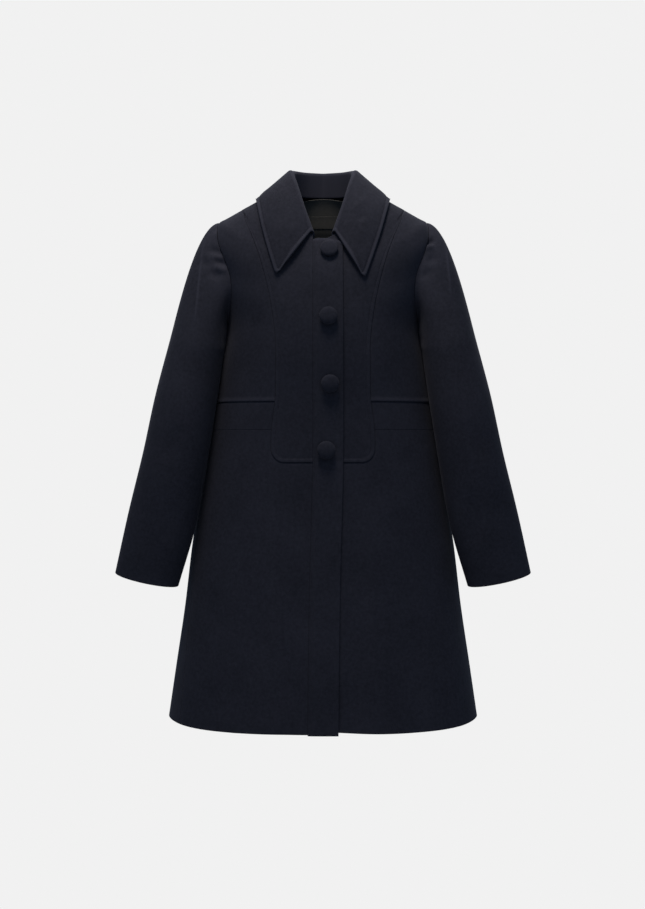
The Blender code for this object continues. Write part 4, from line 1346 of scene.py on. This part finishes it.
def sew_row(bm, row, stitch):
    """Add copies of the stitch along a row of points."""
    length = path_lengths(row, 0)
    for mark in np.arange(STITCH_PITCH, length[-1], STITCH_PITCH):
        here, ahead = [Vector([np.interp(m, length, row[:, k]) for k in range(3)])
                       for m in (mark, mark + NUDGE)]
        turn = (ahead - here).to_track_quat("X", "Z").to_matrix().to_4x4()
        copy = stitch.copy()
        copy.transform(Matrix.Translation(here) @ turn)
        bm.from_mesh(copy)
        bpy.data.meshes.remove(copy)


stitch = make_stitch()
half = len(degrees)
from_left = round_front[-1:] - round_front
rows = {
    "bib": [bib_row(side) for side, _ in sides],
    "placket": [placket_row()],
    "collar": [collar_row(collar_outer[:half], to_edge[:half], round_front[:half]),
               collar_row(collar_outer[::-1][:half], to_edge[::-1][:half], from_left[::-1][:half])],
}
for name, lines in rows.items():
    bm = bmesh.new()
    for line in lines:
        sew_row(bm, line, stitch)
    finish_piece(f"{name}_stitches", bm, thread, "navy_wool")
bpy.data.meshes.remove(stitch)

# %% [markdown]
# ## Cut sizes
# Each cloth piece has a listed cut: the width, length and area of the cloth it is cut from. The loop
# below only looks up each piece's cut. The areas come from the solids.

# %% Cut sizes of the pieces
Cut = namedtuple("Cut", "width length area")
CUTS = {
    "bib_right": Cut(0.14, 0.48, 0.0374),
    "bib_left": Cut(0.16, 0.48, 0.0471),
    "side_front": Cut(0.12, 0.33, 0.0356),
    "waistband": Cut(0.17, 0.05, 0.0074),
    "skirt_front_right": Cut(0.29, 0.53, 0.1086),
    "skirt_front_left": Cut(0.32, 0.53, 0.1240),
    "back": Cut(0.42, 0.95, 0.2590),
    "sleeve_top": Cut(0.30, 0.66, 0.1400),
    "sleeve_under": Cut(0.085, 0.48, 0.0298),
    "placket": Cut(0.052, 0.88, 0.0439),
    "collar": Cut(0.52, 0.16, 0.0635),
    "back_neck_facing": Cut(0.20, 0.15, 0.0195),
    "neck_label": Cut(0.064, 0.024, 0.0015),
}
for name, piece in pieces.items():
    cut = CUTS[name if name in CUTS else name.rsplit("_", 1)[0]]
print("sheets declared:", len(pieces))

# %% [markdown]
# ## Light, floor and camera
# The coat is lit softly from high in front, as in a studio, so that seams throw short shadows downwards.
# A weaker lamp behind lights the back. The room's light is stronger from above than from below, and the
# camera sees it as an even pale grey. The floor lies well below the hem, and its rim fades out, so that
# no edge shows.

# %% Studio
CAMERA_DISTANCE = 3.2
PHOTO_HEIGHT = 909
METRES_PER_PIXEL = 0.0017
CENTRE = Vector((-0.00085, 0, -0.4075))
SENSOR = 36
Lamp = namedtuple("Lamp", "name x y z size power colour")
LAMPS = [
    Lamp("key", -0.2, -0.60, 1.95, 0.6, 86, (1.0, 0.88, 0.77)),
    Lamp("back", 0.2, 1.1, 1.9, 1.0, 26, (1.0, 0.94, 0.88)),
]
scene = bpy.context.scene
scene.view_settings.view_transform = "Standard"
scene.view_settings.look = "None"
for lamp in LAMPS:
    light = bpy.data.lights.new(lamp.name, "AREA")
    light.energy = lamp.power
    light.size = lamp.size
    light.color = lamp.colour
    holder = bpy.data.objects.new(lamp.name, light)
    holder.location = (lamp.x, lamp.y, lamp.z)
    holder.rotation_euler = (CENTRE - Vector(holder.location)).to_track_quat("-Z", "Y").to_euler()
    scene.collection.objects.link(holder)

BACKDROP = (0.88, 0.88, 0.88, 1)
ROOM_BELOW = (0.10, 0.135, 0.19, 1)
ROOM_ABOVE = (0.47, 0.61, 0.81, 1)
world = bpy.data.worlds.new("studio")
world.use_nodes = True
tree = world.node_tree
way = node(tree, "ShaderNodeTexCoord", {}, {}, "Generated")
height = node(tree, "ShaderNodeSeparateXYZ", {}, {0: way}, "Z")
room = node(tree, "ShaderNodeMix", {"data_type": "RGBA", "clamp_factor": True},
            {0: height * 0.5 + 0.5, 6: ROOM_BELOW, 7: ROOM_ABOVE}, 2)
seen = node(tree, "ShaderNodeLightPath", {}, {}, "Is Camera Ray")
colour = node(tree, "ShaderNodeMix", {"data_type": "RGBA"}, {0: seen, 6: room, 7: BACKDROP}, 2)
tree.links.new(colour.socket, tree.nodes["Background"].inputs["Color"])
scene.world = world

FLOOR_CENTRE = (0, -1.3, -1.26)
FLOOR_RADIUS = 1.5
FLOOR_FADE_FROM = FLOOR_RADIUS / 3
FLOOR_SIDES = 96
FLOOR_ROUGHNESS = 0.9
FLOOR_PAINT = (0.82, 0.78, 0.72, 1)
bm = bmesh.new()
bmesh.ops.create_circle(bm, cap_ends=True, segments=FLOOR_SIDES, radius=FLOOR_RADIUS)
bmesh.ops.translate(bm, vec=FLOOR_CENTRE, verts=bm.verts[:])
floor_mesh = bpy.data.meshes.new("floor")
bm.to_mesh(floor_mesh)
bm.free()
floor_paint = bpy.data.materials.new("pale_floor")
floor_paint.use_nodes = True
tree = floor_paint.node_tree
shader = tree.nodes["Principled BSDF"]
shader.inputs["Base Color"].default_value = FLOOR_PAINT
shader.inputs["Roughness"].default_value = FLOOR_ROUGHNESS
place = node(tree, "ShaderNodeTexCoord", {}, {}, "Object")
reach = node(tree, "ShaderNodeVectorMath", {"operation": "DISTANCE"}, {0: place, 1: FLOOR_CENTRE}, "Value")
fade = node(tree, "ShaderNodeMapRange", {"interpolation_type": "SMOOTHSTEP"},
            {"Value": reach, "From Min": FLOOR_FADE_FROM, "From Max": FLOOR_RADIUS})
clear = node(tree, "ShaderNodeBsdfTransparent", {}, {})
solid = Value(tree, shader.outputs["BSDF"])
blend = node(tree, "ShaderNodeMixShader", {}, {0: fade, 1: solid, 2: clear})
tree.links.new(blend.socket, tree.nodes["Material Output"].inputs["Surface"])
floor_mesh.materials.append(floor_paint)
floor = bpy.data.objects.new("floor", floor_mesh)
scene.collection.objects.link(floor)

camera = bpy.data.cameras.new("front")
camera.sensor_fit = "VERTICAL"
camera.sensor_height = SENSOR
camera.lens = SENSOR * CAMERA_DISTANCE / (PHOTO_HEIGHT * METRES_PER_PIXEL)
viewer = bpy.data.objects.new("front", camera)
viewer.location = CENTRE + Vector((0, -CAMERA_DISTANCE, 0))
viewer.rotation_euler = (QUARTER, 0, 0)
scene.collection.objects.link(viewer)
scene.camera = viewer
print("camera lens", round(camera.lens, 1))
